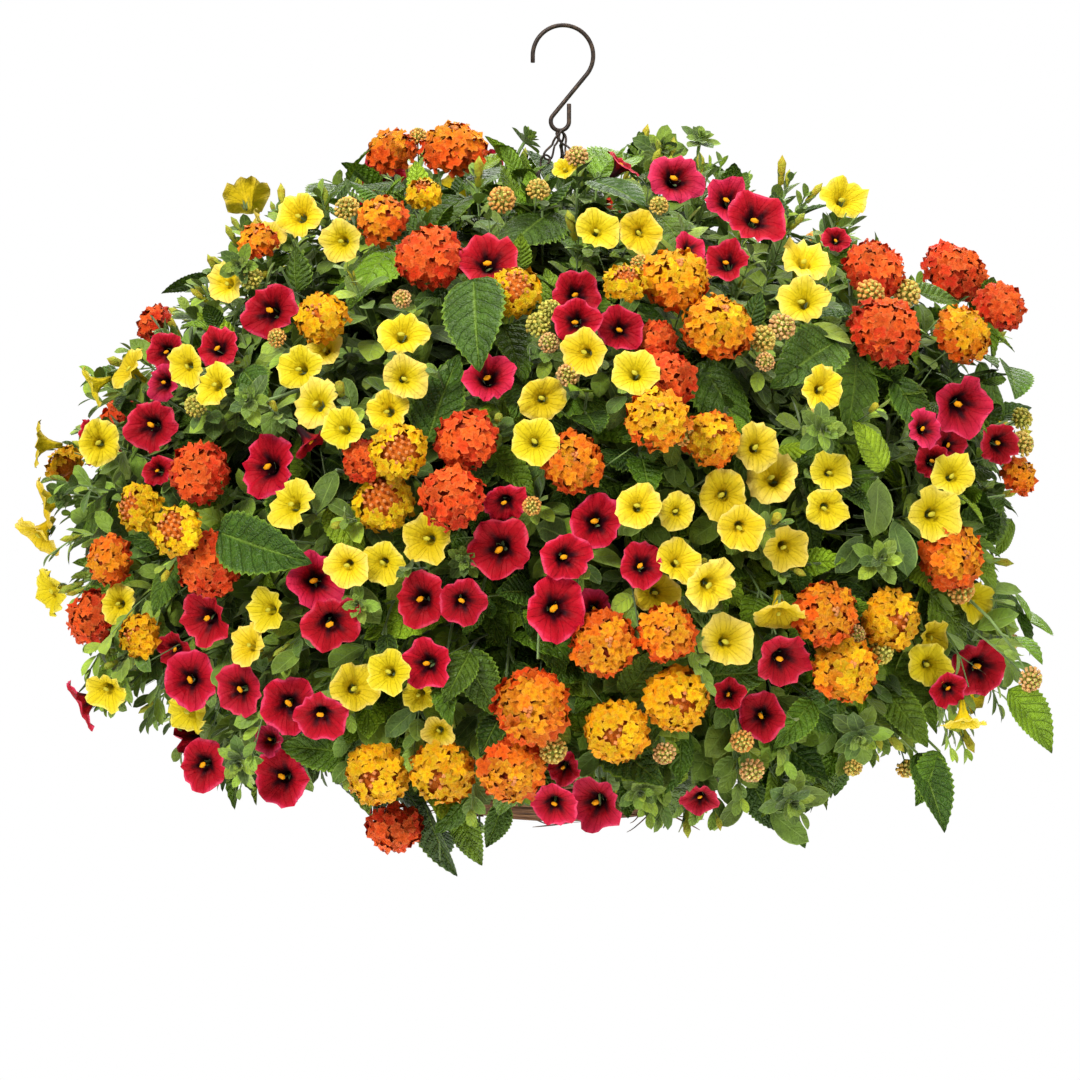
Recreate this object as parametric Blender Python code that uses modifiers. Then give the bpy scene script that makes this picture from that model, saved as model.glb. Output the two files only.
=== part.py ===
"""A hanging basket of lantana and calibrachoa, on three chains and an S hook.

Metres, +Z up. The origin is where the hook hangs: the inside of its bow, at the top.
"""

import math
import random

import bmesh
import bpy
import numpy as np
from mathutils import Matrix, Vector
from mathutils.bvhtree import BVHTree

# The near side as it is seen: the eye, and a plan whose steps are this size at the crown's middle
EYE_DISTANCE = 2.4
EYE_TILT = math.radians(6)
PLAN_STEP = 0.0006
PLAN_MIDDLE = 540
HOOK_ON_PLAN = (563, 27.4)
SIGHT_START = 2.0
SIGHT_STEP = 0.002
SIGHT_STEPS = 400

# Hook
HOOK_WIRE = 0.0013
HOOK_BOW = 0.0179
HOOK_EYE = 0.0054
HOOK_EYE_PLACE = (-0.0018, -0.0553)
HOOK_TIP = 0.0036
HOOK_TAIL = 0.0105

# Chains
CHAIN_WIRE = 0.0008
CHAIN_LINKS = 9
LINK_HALF_WIDTH = 0.0028
CHAIN_TOP_STEP = 0.0034
CHAIN_ANGLES = {"chain_left": 200, "chain_right": 320, "chain_back": 80}

# Woven bowl, its liner and the soil
RIM_RADIUS = 0.150
RIM_Z = -0.324
BOWL_DEPTH = 0.143
BASE_RADIUS = 0.052
WALL = 0.006
RIM_ROLL = 0.005
BOWL_SIDES = 14
WALL_STEPS = 3
LINER = 0.0012
LINER_DROP = 0.012
SOIL_DROP = 0.022
HOLE_RADIUS = 0.0058
HOLE_DEPTH = 0.024
FIT_GAP = 0.0003

# The crown of foliage: where its outside lies, and the curtain that hangs before the bowl
CROWN_CENTRE = Vector((-0.013, 0.0, -0.278))
CROWN_RADII = Vector((0.290, 0.258, 0.212))
POWER_ABOVE = 2.2
POWER_BELOW = 3.5
CURTAIN_Z = RIM_Z - 0.045
CURTAIN_Y = -0.162

# Stems, stalks and the room that each keeps to the next
STEM_RADIUS = 0.0021
STALK_RADIUS = 0.0011
ROOM = 0.0009
STEM_SPREAD = math.radians(17)
SPREAD_ROUNDS = 60
CLUSTER_ROUNDS = 8
LOWEST_STEM = math.radians(112)
FOOT_CIRCLE = 0.112
LEAST_FOOT = 0.0125
STEM_REACH = 0.50
LOW_STEM_REACH = 0.30
STEM_TURNS = (0, 4, -4, 8, -8, 12, -12, 16, -16, 20, -20, 25, -25)

# Each try at a place is a little deeper or shallower, then turned another way
DEPTHS = (1.0, 1.04, 0.96, 1.08, 0.92, 0.88, 0.84, 1.12)
TURN_TRIES = 5
ROOT_SHARES = (0.94, 0.86, 0.78, 0.68, 0.58, 0.48, 0.38)
ROOT_SHIFT = 0.04
MOST_ROOTS = 14
LEAST_STALK = 0.006
LEAST_BACK = 0.4
STALK_START = 0.0022

# Flowers and leaves
FLORET_RISE = 0.26
HEAD_HEIGHT = 0.8
LOWEST_FLORET = -0.5
NOTCH = 0.84
BELL_LOBES = 5
BELL_THROAT = 0.5
BELL_LENGTH = 1.15
LEAF_HALF_WIDTH = 0.29
LEAF_RIB = (0.0008, 0.0012)
LEAF_KEEL = 0.0019
LEAF_ARCH = 0.16
LEAF_FOLD = 0.25
LONGEST_LEAF = 0.062
MOST_FORESHORTENED = 1.6
# Along a blade and out from its rib: the points and notches of its toothed edge
LEAF_TEETH = ((0.13, 0.74), (0.36, 1.04), (0.44, 0.84), (0.66, 0.74), (0.73, 0.52))
TIP_LEAVES = 4
# Out from a shoot tip and round it: one leaf's foot, side, point and other side
TIP_LEAF = ((0.36, 0.0), (0.7, -0.3), (1.0, 0.0), (0.7, 0.3))

# Flower heads on the plan: across, down, width
ORANGE_HEADS = (
    (454, 151, 64), (430, 258, 68), (885, 331, 70), (874, 270, 60), (954, 273, 66), (1000, 306, 50),
    (200, 473, 60), (209, 564, 64), (93, 618, 52), (466, 440, 60), (452, 497, 62), (573, 462, 60),
    (603, 643, 66), (532, 707, 74), (825, 613, 62), (951, 557, 66), (512, 769, 66), (394, 827, 54),
    (668, 380, 54), (393, 152, 50), (383, 220, 50), (667, 633, 56), (364, 461, 40), (656, 341, 40),
)
GOLD_HEADS = (
    (675, 281, 66), (718, 328, 70), (515, 292, 50), (322, 318, 50), (962, 335, 60), (139, 508, 46),
    (176, 531, 50), (399, 451, 54), (384, 502, 58), (657, 419, 62), (712, 438, 54), (890, 619, 60),
    (845, 668, 66), (676, 700, 62), (617, 731, 62), (377, 773, 62), (443, 772, 62), (110, 560, 48),
    (140, 636, 42), (625, 284, 40), (1018, 476, 38), (423, 194, 32), (258, 242, 38),
)

# Yellow and red bells on the plan: across, down, width
YELLOW_BELLS = (
    (297, 214, 46), (339, 241, 42), (224, 281, 42), (184, 366, 40), (212, 383, 42), (297, 367, 46),
    (94, 385, 34), (129, 371, 38), (402, 331, 48), (406, 377, 44), (598, 228, 42), (640, 232, 42),
    (582, 352, 46), (635, 371, 46), (845, 196, 46), (807, 256, 52), (802, 298, 50), (825, 388, 46),
    (314, 401, 50), (340, 427, 44), (41, 445, 38), (99, 442, 44), (48, 503, 42), (41, 536, 42),
    (46, 593, 48), (288, 503, 50), (117, 604, 38), (265, 610, 44), (245, 644, 44), (105, 693, 42),
    (184, 717, 48), (346, 567, 44), (382, 564, 42), (357, 686, 50), (388, 672, 44), (386, 410, 42),
    (426, 539, 50), (543, 399, 46), (535, 441, 46), (639, 505, 46), (677, 511, 38), (679, 560, 44),
    (657, 594, 44), (759, 446, 48), (772, 475, 54), (831, 471, 40), (827, 510, 42), (723, 495, 50),
    (741, 529, 46), (787, 549, 46), (713, 586, 52), (780, 612, 44), (728, 640, 52), (954, 473, 44),
    (936, 514, 54), (978, 603, 42), (930, 665, 44), (965, 721, 38),
)
RED_BELLS = (
    (267, 310, 56), (217, 345, 44), (165, 352, 38), (161, 383, 38), (489, 259, 58), (677, 176, 54),
    (728, 198, 46), (757, 216, 56), (726, 260, 44), (622, 166, 32), (577, 293, 46), (576, 321, 46),
    (620, 328, 44), (489, 374, 52), (963, 407, 60), (927, 427, 40), (1002, 444, 44), (148, 427, 54),
    (265, 465, 60), (310, 442, 36), (316, 580, 56), (332, 626, 58), (204, 620, 54), (189, 679, 54),
    (237, 689, 50), (289, 706, 56), (321, 719, 52), (84, 705, 44), (419, 600, 54), (463, 603, 46),
    (426, 664, 50), (498, 549, 62), (504, 505, 42), (596, 521, 54), (567, 557, 50), (558, 608, 64),
    (642, 564, 46), (202, 766, 50), (279, 778, 56), (594, 805, 56), (554, 806, 44), (785, 663, 58),
    (761, 716, 46), (981, 670, 60), (691, 246, 32),
)

# Lantana leaves on the plan: where the blade starts, and its tip
LEAVES = (
    ((503, 177), (426, 222)), ((538, 166), (466, 178)), ((558, 209), (500, 243)), ((583, 190), (640, 140)),
    ((399, 238), (345, 297)), ((474, 276), (474, 360)), ((427, 442), (455, 352)), ((503, 325), (526, 375)),
    ((680, 325), (610, 300)), ((700, 362), (752, 438)), ((654, 212), (692, 248)), ((594, 182), (645, 194)),
    ((403, 185), (352, 183)), ((339, 203), (360, 160)), ((356, 176), (313, 200)), ((557, 228), (595, 253)),
    ((857, 301), (803, 308)), ((916, 292), (963, 297)), ((981, 306), (1001, 364)), ((998, 350), (1021, 388)),
    ((979, 362), (1010, 419)), ((894, 379), (936, 441)), ((855, 350), (857, 433)), ((874, 371), (914, 417)),
    ((836, 342), (779, 374)), ((820, 425), (810, 486)), ((125, 503), (68, 516)), ((184, 506), (240, 509)),
    ((212, 529), (298, 563)), ((240, 366), (263, 395)), ((489, 452), (534, 490)), ((463, 651), (497, 719)),
    ((575, 485), (617, 514)), ((624, 695), (663, 650)), ((699, 677), (776, 670)), ((710, 686), (749, 726)),
    ((884, 658), (944, 726)), ((929, 593), (975, 639)), ((985, 633), (999, 570)), ((1016, 655), (1039, 601)),
    ((1008, 689), (1059, 751)), ((1008, 691), (979, 732)), ((917, 753), (950, 827)), ((797, 697), (854, 732)),
    ((988, 487), (990, 546)), ((357, 752), (278, 746)), ((425, 801), (446, 881)), ((457, 806), (477, 869)),
    ((503, 801), (488, 850)), ((667, 758), (677, 834)), ((752, 782), (778, 836)), ((351, 712), (416, 753)),
)

# Leafy calibrachoa shoot tips on the plan: across, down, width
SHOOT_TIPS = (
    (660, 150, 64), (240, 265, 52), (822, 430, 66), (250, 400, 56), (50, 500, 44), (880, 560, 66),
    (860, 735, 76), (790, 800, 70), (240, 760, 56), (640, 790, 62), (465, 560, 52), (700, 140, 48),
    (350, 610, 56), (960, 770, 44),
)

# One in so many of each grows again on the flanks and the far side, by these turns in degrees
FAR_SHARE = {"orange": 3, "gold": 3, "yellow": 3, "red": 2, "leaf": 2, "tip": 2}
FAR_TURNS = (172, 96, 194, -98)
FAR_FRONT = -0.05

# Colour, roughness and metallic value of each finish
FINISHES = {
    "orange": ((0.80, 0.13, 0.02), 0.6, 0.0),
    "gold": ((0.90, 0.42, 0.01), 0.6, 0.0),
    "yellow": ((0.84, 0.72, 0.06), 0.55, 0.0),
    "red": ((0.55, 0.01, 0.05), 0.55, 0.0),
    "leaf": ((0.06, 0.16, 0.03), 0.45, 0.0),
    "tip": ((0.12, 0.24, 0.06), 0.55, 0.0),
    "wire": ((0.05, 0.045, 0.04), 0.4, 0.8),
    "wicker": ((0.22, 0.12, 0.06), 0.8, 0.0),
    "liner": ((0.03, 0.03, 0.03), 0.5, 0.0),
    "soil": ((0.05, 0.035, 0.025), 0.95, 0.0),
}

# The stems that each colour grows on: what their nodes are called, and how many there are
STEMS = {
    "orange": ("lantana_orange_heads", 6),
    "gold": ("lantana_gold_heads", 5),
    "yellow": ("calibrachoa_yellow_bells", 7),
    "red": ("calibrachoa_red_bells", 7),
    "leaf": ("lantana_leaves", 8),
    "tip": ("calibrachoa_leaves", 3),
}


# The scene and its finishes


def clear_scene():
    for old in list(bpy.data.objects):
        bpy.data.objects.remove(old)


def collection(name):
    made = bpy.data.collections.new(name)
    bpy.context.scene.collection.children.link(made)
    return made


def material(name):
    """One finish, made the first time that it is asked for."""
    found = bpy.data.materials.get(name)
    if found:
        return found
    colour, roughness, metallic = FINISHES[name]
    made = bpy.data.materials.new(name)
    made.use_nodes = True
    shader = made.node_tree.nodes["Principled BSDF"]
    shader.inputs["Base Color"].default_value = (*colour, 1.0)
    shader.inputs["Roughness"].default_value = roughness
    shader.inputs["Metallic"].default_value = metallic
    return made


def show(name, mesh, finish):
    """Puts a mesh in the part's collection as one named sub-part."""
    made = bpy.data.objects.new(name, mesh)
    mesh.materials.clear()
    mesh.materials.append(material(finish))
    PART.objects.link(made)
    return made


# Making solids


def evaluated(thing):
    """A new mesh of an object as its modifiers leave it."""
    graph = bpy.context.evaluated_depsgraph_get()
    return bpy.data.meshes.new_from_object(thing.evaluated_get(graph))


def outward_mesh(points, faces):
    """A closed mesh of points and faces, all turned outwards."""
    mesh = bpy.data.meshes.new("solid")
    mesh.from_pydata([tuple(p) for p in points], [], faces)
    shape = bmesh.new()
    shape.from_mesh(mesh)
    bmesh.ops.recalc_face_normals(shape, faces=shape.faces)
    shape.to_mesh(mesh)
    shape.free()
    return mesh


def wire_mesh(points, radius, resolution):
    """A wire along points, from a bevelled curve, with its caps welded on."""
    curve = bpy.data.curves.new("wire", "CURVE")
    curve.dimensions = "3D"
    curve.bevel_depth = radius
    curve.bevel_resolution = resolution
    curve.use_fill_caps = True
    spline = curve.splines.new("POLY")
    spline.points.add(len(points) - 1)
    for place, point in zip(spline.points, points):
        place.co = (*point, 1.0)
    guide = bpy.data.objects.new("wire", curve)
    bpy.context.scene.collection.objects.link(guide)
    mesh = evaluated(guide)
    bpy.data.objects.remove(guide)
    shape = bmesh.new()
    shape.from_mesh(mesh)
    bmesh.ops.remove_doubles(shape, verts=shape.verts, dist=1e-6)
    bmesh.ops.recalc_face_normals(shape, faces=shape.faces)
    shape.to_mesh(mesh)
    shape.free()
    return mesh


def joined(meshes):
    """One body from solids whose roots lie in each other, by one union on a collection."""
    first, *others = [bpy.data.objects.new("joined", mesh) for mesh in meshes]
    group = collection("joined")
    bpy.context.scene.collection.objects.link(first)
    for other in others:
        group.objects.link(other)
    join = first.modifiers.new("Join", "BOOLEAN")
    join.operation = "UNION"
    join.operand_type = "COLLECTION"
    join.collection = group
    mesh = evaluated(first)
    for old in (first, *others):
        bpy.data.objects.remove(old)
    bpy.data.collections.remove(group)
    return mesh


def turned(name, profile, finish):
    """A turned solid. Its profile runs from the axis inside, up, over the edge and down outside."""
    mesh = bpy.data.meshes.new(name)
    points = [(across, 0, height) for across, height in profile]
    mesh.from_pydata(points, [(i, i + 1) for i in range(len(points) - 1)], [])
    made = show(name, mesh, finish)
    screw = made.modifiers.new("Turn", "SCREW")
    screw.steps = BOWL_SIDES
    screw.render_steps = BOWL_SIDES
    screw.use_merge_vertices = True
    screw.merge_threshold = 0.0001
    return made


# Hook and chains


def arc(centre, radius, start, end, steps):
    """Points of an arc in the XZ plane, from one angle to another, in degrees from +X."""
    angles = [math.radians(start + (end - start) * i / steps) for i in range(steps + 1)]
    return [centre + Vector((math.cos(a), 0, math.sin(a))) * radius for a in angles]


def hook_eye():
    return Vector((HOOK_EYE_PLACE[0], 0, HOOK_EYE_PLACE[1]))


def s_hook():
    """The S: a short end, the bow, a slanted shank, the small eye and its upright end."""
    bow = Vector((0, 0, HOOK_WIRE - HOOK_BOW))
    line = [bow + Vector((-HOOK_BOW, 0, -HOOK_TIP))]
    line += arc(bow, HOOK_BOW, 180, -36, 12)
    line += arc(hook_eye(), HOOK_EYE, 146, 360, 7)
    line.append(hook_eye() + Vector((HOOK_EYE, 0, HOOK_TAIL)))
    return wire_mesh(line, HOOK_WIRE, 1)


def chain_ends(index, degrees):
    """A chain's top, side by side with the others under the hook's eye, and its foot on the rim."""
    drop = HOOK_EYE + HOOK_WIRE + CHAIN_WIRE + FIT_GAP
    top = hook_eye() + Vector((0, (index - 1) * CHAIN_TOP_STEP, -drop))
    turn = math.radians(degrees)
    height = RIM_Z + RIM_ROLL + CHAIN_WIRE + FIT_GAP
    return top, Vector((math.cos(turn) * RIM_RADIUS, math.sin(turn) * RIM_RADIUS, height))


def chain(top, foot):
    """Links of two bowed strands, each a quarter turn from the last, between small cubes.

    Two sides of a cube are the ends of the link above it, and the other two of the link below.
    """
    along = (foot - top).normalized()
    sides = [along.cross(Vector((0, 0, 1))).normalized()]
    sides.append(along.cross(sides[0]))
    turn = Matrix((*sides, along)).transposed().to_4x4()
    shape = bmesh.new()
    cubes = []
    for i in range(CHAIN_LINKS + 1):
        centre = top.lerp(foot, i / CHAIN_LINKS)
        place = Matrix.Translation(centre) @ turn
        made = bmesh.ops.create_cube(shape, size=CHAIN_WIRE * 2, matrix=place)
        cubes.append((centre, made["verts"]))
    for i in range(CHAIN_LINKS):
        for out in (sides[i % 2], -sides[i % 2]):
            strand(shape, cubes[i], cubes[i + 1], along, out)
    bmesh.ops.recalc_face_normals(shape, faces=shape.faces)
    mesh = bpy.data.meshes.new("chain")
    shape.to_mesh(mesh)
    shape.free()
    return mesh


def strand(shape, start, end, along, out):
    """One bowed side of a link, from a side of one cube to the same side of the next."""
    other = along.cross(out)
    middle = (start[0] + end[0]) / 2 + out * LINK_HALF_WIDTH
    corners = ((-1, 1), (-1, -1), (1, -1), (1, 1))
    bowed = [shape.verts.new(middle + (out * x + other * y) * CHAIN_WIRE) for x, y in corners]
    for (centre, cube), toward in ((start, 1), (end, -1)):
        ways = [out - along * x * toward + other * y for x, y in corners]
        side = [max(cube, key=lambda vert: (vert.co - centre).dot(way)) for way in ways]
        lid = next(face for face in side[0].link_faces if set(face.verts) == set(side))
        shape.faces.remove(lid)
        for i in range(4):
            j = (i + 1) % 4
            shape.faces.new((side[i], side[j], bowed[j], bowed[i]))


# Bowl, liner and soil


def wall_line(inset):
    """The bowl's side, moved in from its outside: from its top edge down to its flat base."""
    line = []
    for i in range(WALL_STEPS + 1):
        turn = math.pi / 2 * i / WALL_STEPS
        across = BASE_RADIUS + (RIM_RADIUS - BASE_RADIUS) * math.cos(turn) - inset
        line.append((across, RIM_Z - (BOWL_DEPTH - inset) * math.sin(turn)))
    return line


def below(line, height):
    """The stretch of a side that lies below a height, starting on it."""
    start = next(i for i, point in enumerate(line) if point[1] < height)
    (r0, z0), (r1, z1) = line[start - 1], line[start]
    across = r0 + (r1 - r0) * (height - z0) / (z1 - z0)
    return [(across, height), *line[start:]]


def bowl():
    """The woven bowl, as one wall with its rolled rim."""
    inner, outer = wall_line(WALL), wall_line(0)
    rim = [(RIM_RADIUS - WALL - RIM_ROLL / 2, RIM_Z + RIM_ROLL),
           (RIM_RADIUS + RIM_ROLL, RIM_Z + RIM_ROLL), (RIM_RADIUS + RIM_ROLL, RIM_Z - RIM_ROLL)]
    profile = [(0, inner[-1][1]), *reversed(inner), *rim, *outer[1:], (0, outer[-1][1])]
    return turned("wicker_bowl", profile, "wicker")


def liner():
    outer = below(wall_line(WALL + FIT_GAP), RIM_Z - LINER_DROP)
    inner = below(wall_line(WALL + FIT_GAP + LINER), RIM_Z - LINER_DROP)
    profile = [(0, inner[-1][1]), *reversed(inner), *outer, (0, outer[-1][1])]
    return turned("basket_liner", profile, "liner")


def soil_top():
    return RIM_Z - SOIL_DROP


def soil(holes):
    """Potting soil, as wide as the liner leaves, with a plain hole for each stem."""
    side = below(wall_line(WALL + LINER + FIT_GAP * 2), soil_top())
    made = turned("potting_soil", [(0, soil_top()), *side, (0, side[-1][1])], "soil")
    shape = bmesh.new()
    for hole in holes:
        place = Matrix.Translation((hole.x, hole.y, soil_top()))
        bmesh.ops.create_cone(shape, cap_ends=True, segments=3, radius1=HOLE_RADIUS,
                              radius2=HOLE_RADIUS, depth=HOLE_DEPTH * 2, matrix=place)
    mesh = bpy.data.meshes.new("stem_hole_cutter")
    shape.to_mesh(mesh)
    shape.free()
    cutter = bpy.data.objects.new("stem_hole_cutter", mesh)
    CUTTERS.objects.link(cutter)
    cutter.hide_render = True
    cutter.display_type = "WIRE"
    cut = made.modifiers.new("Stem holes", "BOOLEAN")
    cut.operation = "DIFFERENCE"
    cut.object = cutter
    return made


# Places on the crown


def eye_and_target():
    """The viewer's eye and what it looks at, with the hook's bow where the plan has it."""
    rise = (PLAN_MIDDLE - HOOK_ON_PLAN[1]) * PLAN_STEP
    cos, sin = math.cos(EYE_TILT), math.sin(EYE_TILT)
    drop = rise * EYE_DISTANCE / (EYE_DISTANCE * cos + rise * sin)
    nearer = 1 - drop * sin / EYE_DISTANCE
    target = Vector(((PLAN_MIDDLE - HOOK_ON_PLAN[0]) * PLAN_STEP * nearer, 0, -drop))
    return target + Vector((0, -cos, sin)) * EYE_DISTANCE, target


def crown_power(rise):
    return POWER_ABOVE if rise > 0 else POWER_BELOW


def outside(point, scale):
    """Below 0 inside the crown, drawn in by a scale, and above 0 outside it."""
    d = (point - CROWN_CENTRE) / scale
    flat = (d.x / CROWN_RADII.x) ** 2 + (d.y / CROWN_RADII.y) ** 2
    return flat + abs(d.z / CROWN_RADII.z) ** crown_power(d.z) - 1


def outward(point):
    """The way out of the crown at a point."""
    d = point - CROWN_CENTRE
    power = crown_power(d.z)
    steep = power / 2 * abs(d.z / CROWN_RADII.z) ** (power - 2)
    way = Vector((d.x / CROWN_RADII.x**2, d.y / CROWN_RADII.y**2, steep * d.z / CROWN_RADII.z**2))
    return way.normalized()


def crown_point(plan, scale):
    """The first point of the crown behind a place on the plan, or the nearest to it in passing."""
    eye, target = eye_and_target()
    up = Vector((0, math.sin(EYE_TILT), math.cos(EYE_TILT)))
    aim = target + Vector(((plan[0] - PLAN_MIDDLE) * PLAN_STEP, 0, 0))
    sight = (aim + up * (PLAN_MIDDLE - plan[1]) * PLAN_STEP - eye).normalized()
    places = [eye + sight * (SIGHT_START + SIGHT_STEP * i) for i in range(SIGHT_STEPS)]
    values = [outside(place, scale) for place in places]
    inside = [i for i, value in enumerate(values) if value < 0]
    point = places[inside[0] if inside else values.index(min(values))]
    if point.z < CURTAIN_Z and point.y > CURTAIN_Y:
        point = eye + sight * ((CURTAIN_Y - eye.y) / sight.y)
    return point


def about_crown(degrees):
    """A turn about the crown's upright middle line."""
    middle = Matrix.Translation((CROWN_CENTRE.x, 0, 0))
    return middle @ Matrix.Rotation(math.radians(degrees), 4, "Z") @ middle.inverted()


def loose(key, size):
    """A small seeded vector for one thing."""
    draw = random.Random(str(key))
    return Vector([draw.uniform(-size, size) for _ in range(3)])


def flower_place(kind, spot, attempt):
    """A flower's frame, with Z out of its face, and its radius."""
    point = crown_point(spot[:2], DEPTHS[attempt % len(DEPTHS)])
    from_eye = point - eye_and_target()[0]
    key = (kind, spot, attempt // len(DEPTHS))
    if kind in ("orange", "gold"):
        facing = outward(point) * 0.8 - from_eye.normalized() * 0.35 + Vector((0, 0, 0.25)) + loose(key, 0.2)
    else:
        facing = outward(point) * 0.65 - from_eye.normalized() * 0.75 + loose(key, 0.4)
    spin = Matrix.Rotation(random.Random(str(key)).uniform(0, math.tau), 4, "Z")
    turn = facing.to_track_quat("Z", "Y").to_matrix().to_4x4() @ spin
    return Matrix.Translation(point) @ turn, spot[2] / 2 * PLAN_STEP * from_eye.length / EYE_DISTANCE


def leaf_place(spot, attempt):
    """A blade's frame, with Y to its tip and Z out of its upper face, and its length."""
    scale = DEPTHS[attempt % len(DEPTHS)]
    base, tip = crown_point(spot[0], scale * 0.9), crown_point(spot[1], scale * 0.95)
    along = (tip - base).normalized()
    seen = (Vector(spot[1]) - Vector(spot[0])).length * PLAN_STEP
    length = min((tip - base).length, seen * MOST_FORESHORTENED, LONGEST_LEAF)
    key = ("leaf", spot, attempt // len(DEPTHS))
    face = outward(base) + Vector((0, -0.3, 0.5)) + loose(key, 0.45)
    side = along.cross(face).normalized()
    turn = Matrix((side, along, side.cross(along))).transposed().to_4x4()
    return Matrix.Translation(tip - along * length) @ turn, length


# Flowers and leaves as closed solids, each left open at a neck of three points for its stalk


def ring(radius, height, count):
    angles = [math.tau * i / count for i in range(count)]
    return [Vector((math.cos(a) * radius, math.sin(a) * radius, height)) for a in angles]


def loft_to_neck(points, first):
    """Faces from an outline, the first points of a list, to a neck of three that starts at first."""
    count = first - 1
    nearest = [first + round(i * 3 / count) % 3 for i in range(count + 1)]
    faces = []
    for i in range(count):
        j = (i + 1) % count
        faces.append((j, i, nearest[i]))
        if nearest[i] != nearest[i + 1]:
            faces.append((j, nearest[i], nearest[i + 1]))
    return faces


def fan(count, middle):
    return [(i, (i + 1) % count, middle) for i in range(count)]


def bell(radius):
    """A funnel of five lobes: its mouth, the throat and the calyx behind it."""
    mouth = ring(radius, 0, BELL_LOBES * 2)
    for notch in mouth[1::2]:
        notch *= NOTCH
        notch.z = radius * 0.08
    count = len(mouth)
    points = [*mouth, Vector((0, 0, -radius * BELL_THROAT)), *ring(STALK_RADIUS, -radius * BELL_LENGTH, 3)]
    neck = (count + 1, count + 2, count + 3)
    return points, fan(count, count) + loft_to_neck(points, count + 1), neck


def head(radius):
    """A domed head: raised florets on an icosahedron, whose lowest face narrows to the neck."""
    shape = bmesh.new()
    bmesh.ops.create_icosphere(shape, subdivisions=1, radius=1)
    shape.normal_update()
    lowest = min(shape.faces, key=lambda face: face.normal.z)
    level = lowest.normal.rotation_difference(Vector((0, 0, -1))).to_matrix()
    bmesh.ops.rotate(shape, verts=shape.verts, matrix=level)
    shape.normal_update()
    florets = [face for face in shape.faces if face.normal.z > LOWEST_FLORET]
    bmesh.ops.poke(shape, faces=florets, offset=FLORET_RISE)
    bmesh.ops.scale(shape, verts=shape.verts, vec=(radius, radius, radius * HEAD_HEIGHT))
    shape.verts.index_update()
    points = [vert.co.copy() for vert in shape.verts]
    corners = [vert.index for vert in lowest.verts]
    faces = [tuple(vert.index for vert in face.verts) for face in shape.faces if face is not lowest]
    shape.free()
    first = len(points)
    for corner in corners:
        out = Vector((points[corner].x, points[corner].y, 0)).normalized() * STALK_RADIUS
        points.append(out - Vector((0, 0, radius * 0.95)))
    for i in range(3):
        j = (i + 1) % 3
        faces += [(corners[i], corners[j], first + j), (corners[i], first + j, first + i)]
    return points, faces, (first, first + 1, first + 2)


def leaf(length):
    """A toothed blade, thick at its rib, arched to its tip and folded a little along the rib."""
    wide = length * LEAF_HALF_WIDTH
    left = [(-wide * out, length * along) for along, out in LEAF_TEETH]
    right = [(-across, along) for across, along in reversed(left)]
    outline = [(-STALK_RADIUS, 0), *left, (0, length), *right, (STALK_RADIUS, 0)]
    points = []
    for across, along in outline:
        sag = length * LEAF_ARCH * (along / length) ** 2
        points.append(Vector((across, along, abs(across) * LEAF_FOLD - sag)))
    count = len(points)
    rib = Vector((0, length * 0.4, -length * LEAF_ARCH * 0.16))
    points += [rib + Vector((0, 0, LEAF_RIB[0])), rib - Vector((0, 0, LEAF_RIB[1]))]
    points.append(Vector((0, LEAF_KEEL, -LEAF_KEEL)))
    under, keel = count + 1, count + 2
    faces = fan(count, count) + [(i, i + 1, under) for i in range(count - 1)]
    faces += [(count - 1, keel, under), (keel, 0, under)]
    return points, faces, (0, keel, count - 1)


def shoot_tip(radius):
    """A rosette of pointed leaves round the end of a shoot."""
    outline = []
    for number in range(TIP_LEAVES):
        for reach, aside in TIP_LEAF:
            between = 0.0 if reach == TIP_LEAF[0][0] else 0.5
            angle = math.tau * (number + between) / TIP_LEAVES + aside
            lift = radius * (0.30 * reach - 0.1)
            outline.append(Vector((math.cos(angle) * reach, math.sin(angle) * reach, 0)) * radius)
            outline[-1].z = lift
    count = len(outline)
    points = [*outline, Vector((0, 0, 0.0006)), *ring(STALK_RADIUS, -radius * 0.3, 3)]
    return points, fan(count, count) + loft_to_neck(points, count + 1), (count + 1, count + 2, count + 3)


FORMS = {"orange": head, "gold": head, "yellow": bell, "red": bell, "leaf": leaf, "tip": shoot_tip}


# Keeping things clear of each other


def grow(points, faces, by):
    """The points of a solid moved out along their normals, whichever way its faces run."""
    normals = [Vector() for _ in points]
    volume = 0.0
    for face in faces:
        a, b, c = (points[i] for i in face[:3])
        normal = (b - a).cross(c - a)
        volume += normal.dot(a) * (len(face) - 2)
        for i in face:
            normals[i] += normal.normalized()
    out = math.copysign(by, volume)
    return [p + n.normalized() * out for p, n in zip(points, normals)]


class Room:
    """The solids placed so far, and whether a new one is clear of them."""

    def __init__(self):
        self.trees = []
        self.owners = []
        self.lows = np.empty((0, 3))
        self.highs = np.empty((0, 3))

    def add(self, points, faces, owner=None):
        self.lows = np.vstack([self.lows, np.min(points, axis=0)])
        self.highs = np.vstack([self.highs, np.max(points, axis=0)])
        self.trees.append(BVHTree.FromPolygons(points, faces))
        self.owners.append(owner)

    def add_mesh(self, mesh, owner=None):
        self.add(*parts_of(mesh), owner)

    def is_free(self, points, faces, owner=None):
        """True if the solid, grown by the room it keeps, meets nothing that isn't its owner's."""
        grown = grow(points, faces, ROOM)
        near = (self.highs > np.min(grown, axis=0)) & (self.lows < np.max(grown, axis=0))
        tree = BVHTree.FromPolygons(grown, faces)
        for index in np.flatnonzero(near.all(axis=1)):
            own = owner is not None and owner == self.owners[index]
            if not own and tree.overlap(self.trees[index]):
                return False
        return True


def parts_of(mesh):
    """A mesh's points and faces."""
    return [vert.co.copy() for vert in mesh.vertices], [tuple(face.vertices) for face in mesh.polygons]


# Planting


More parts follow.
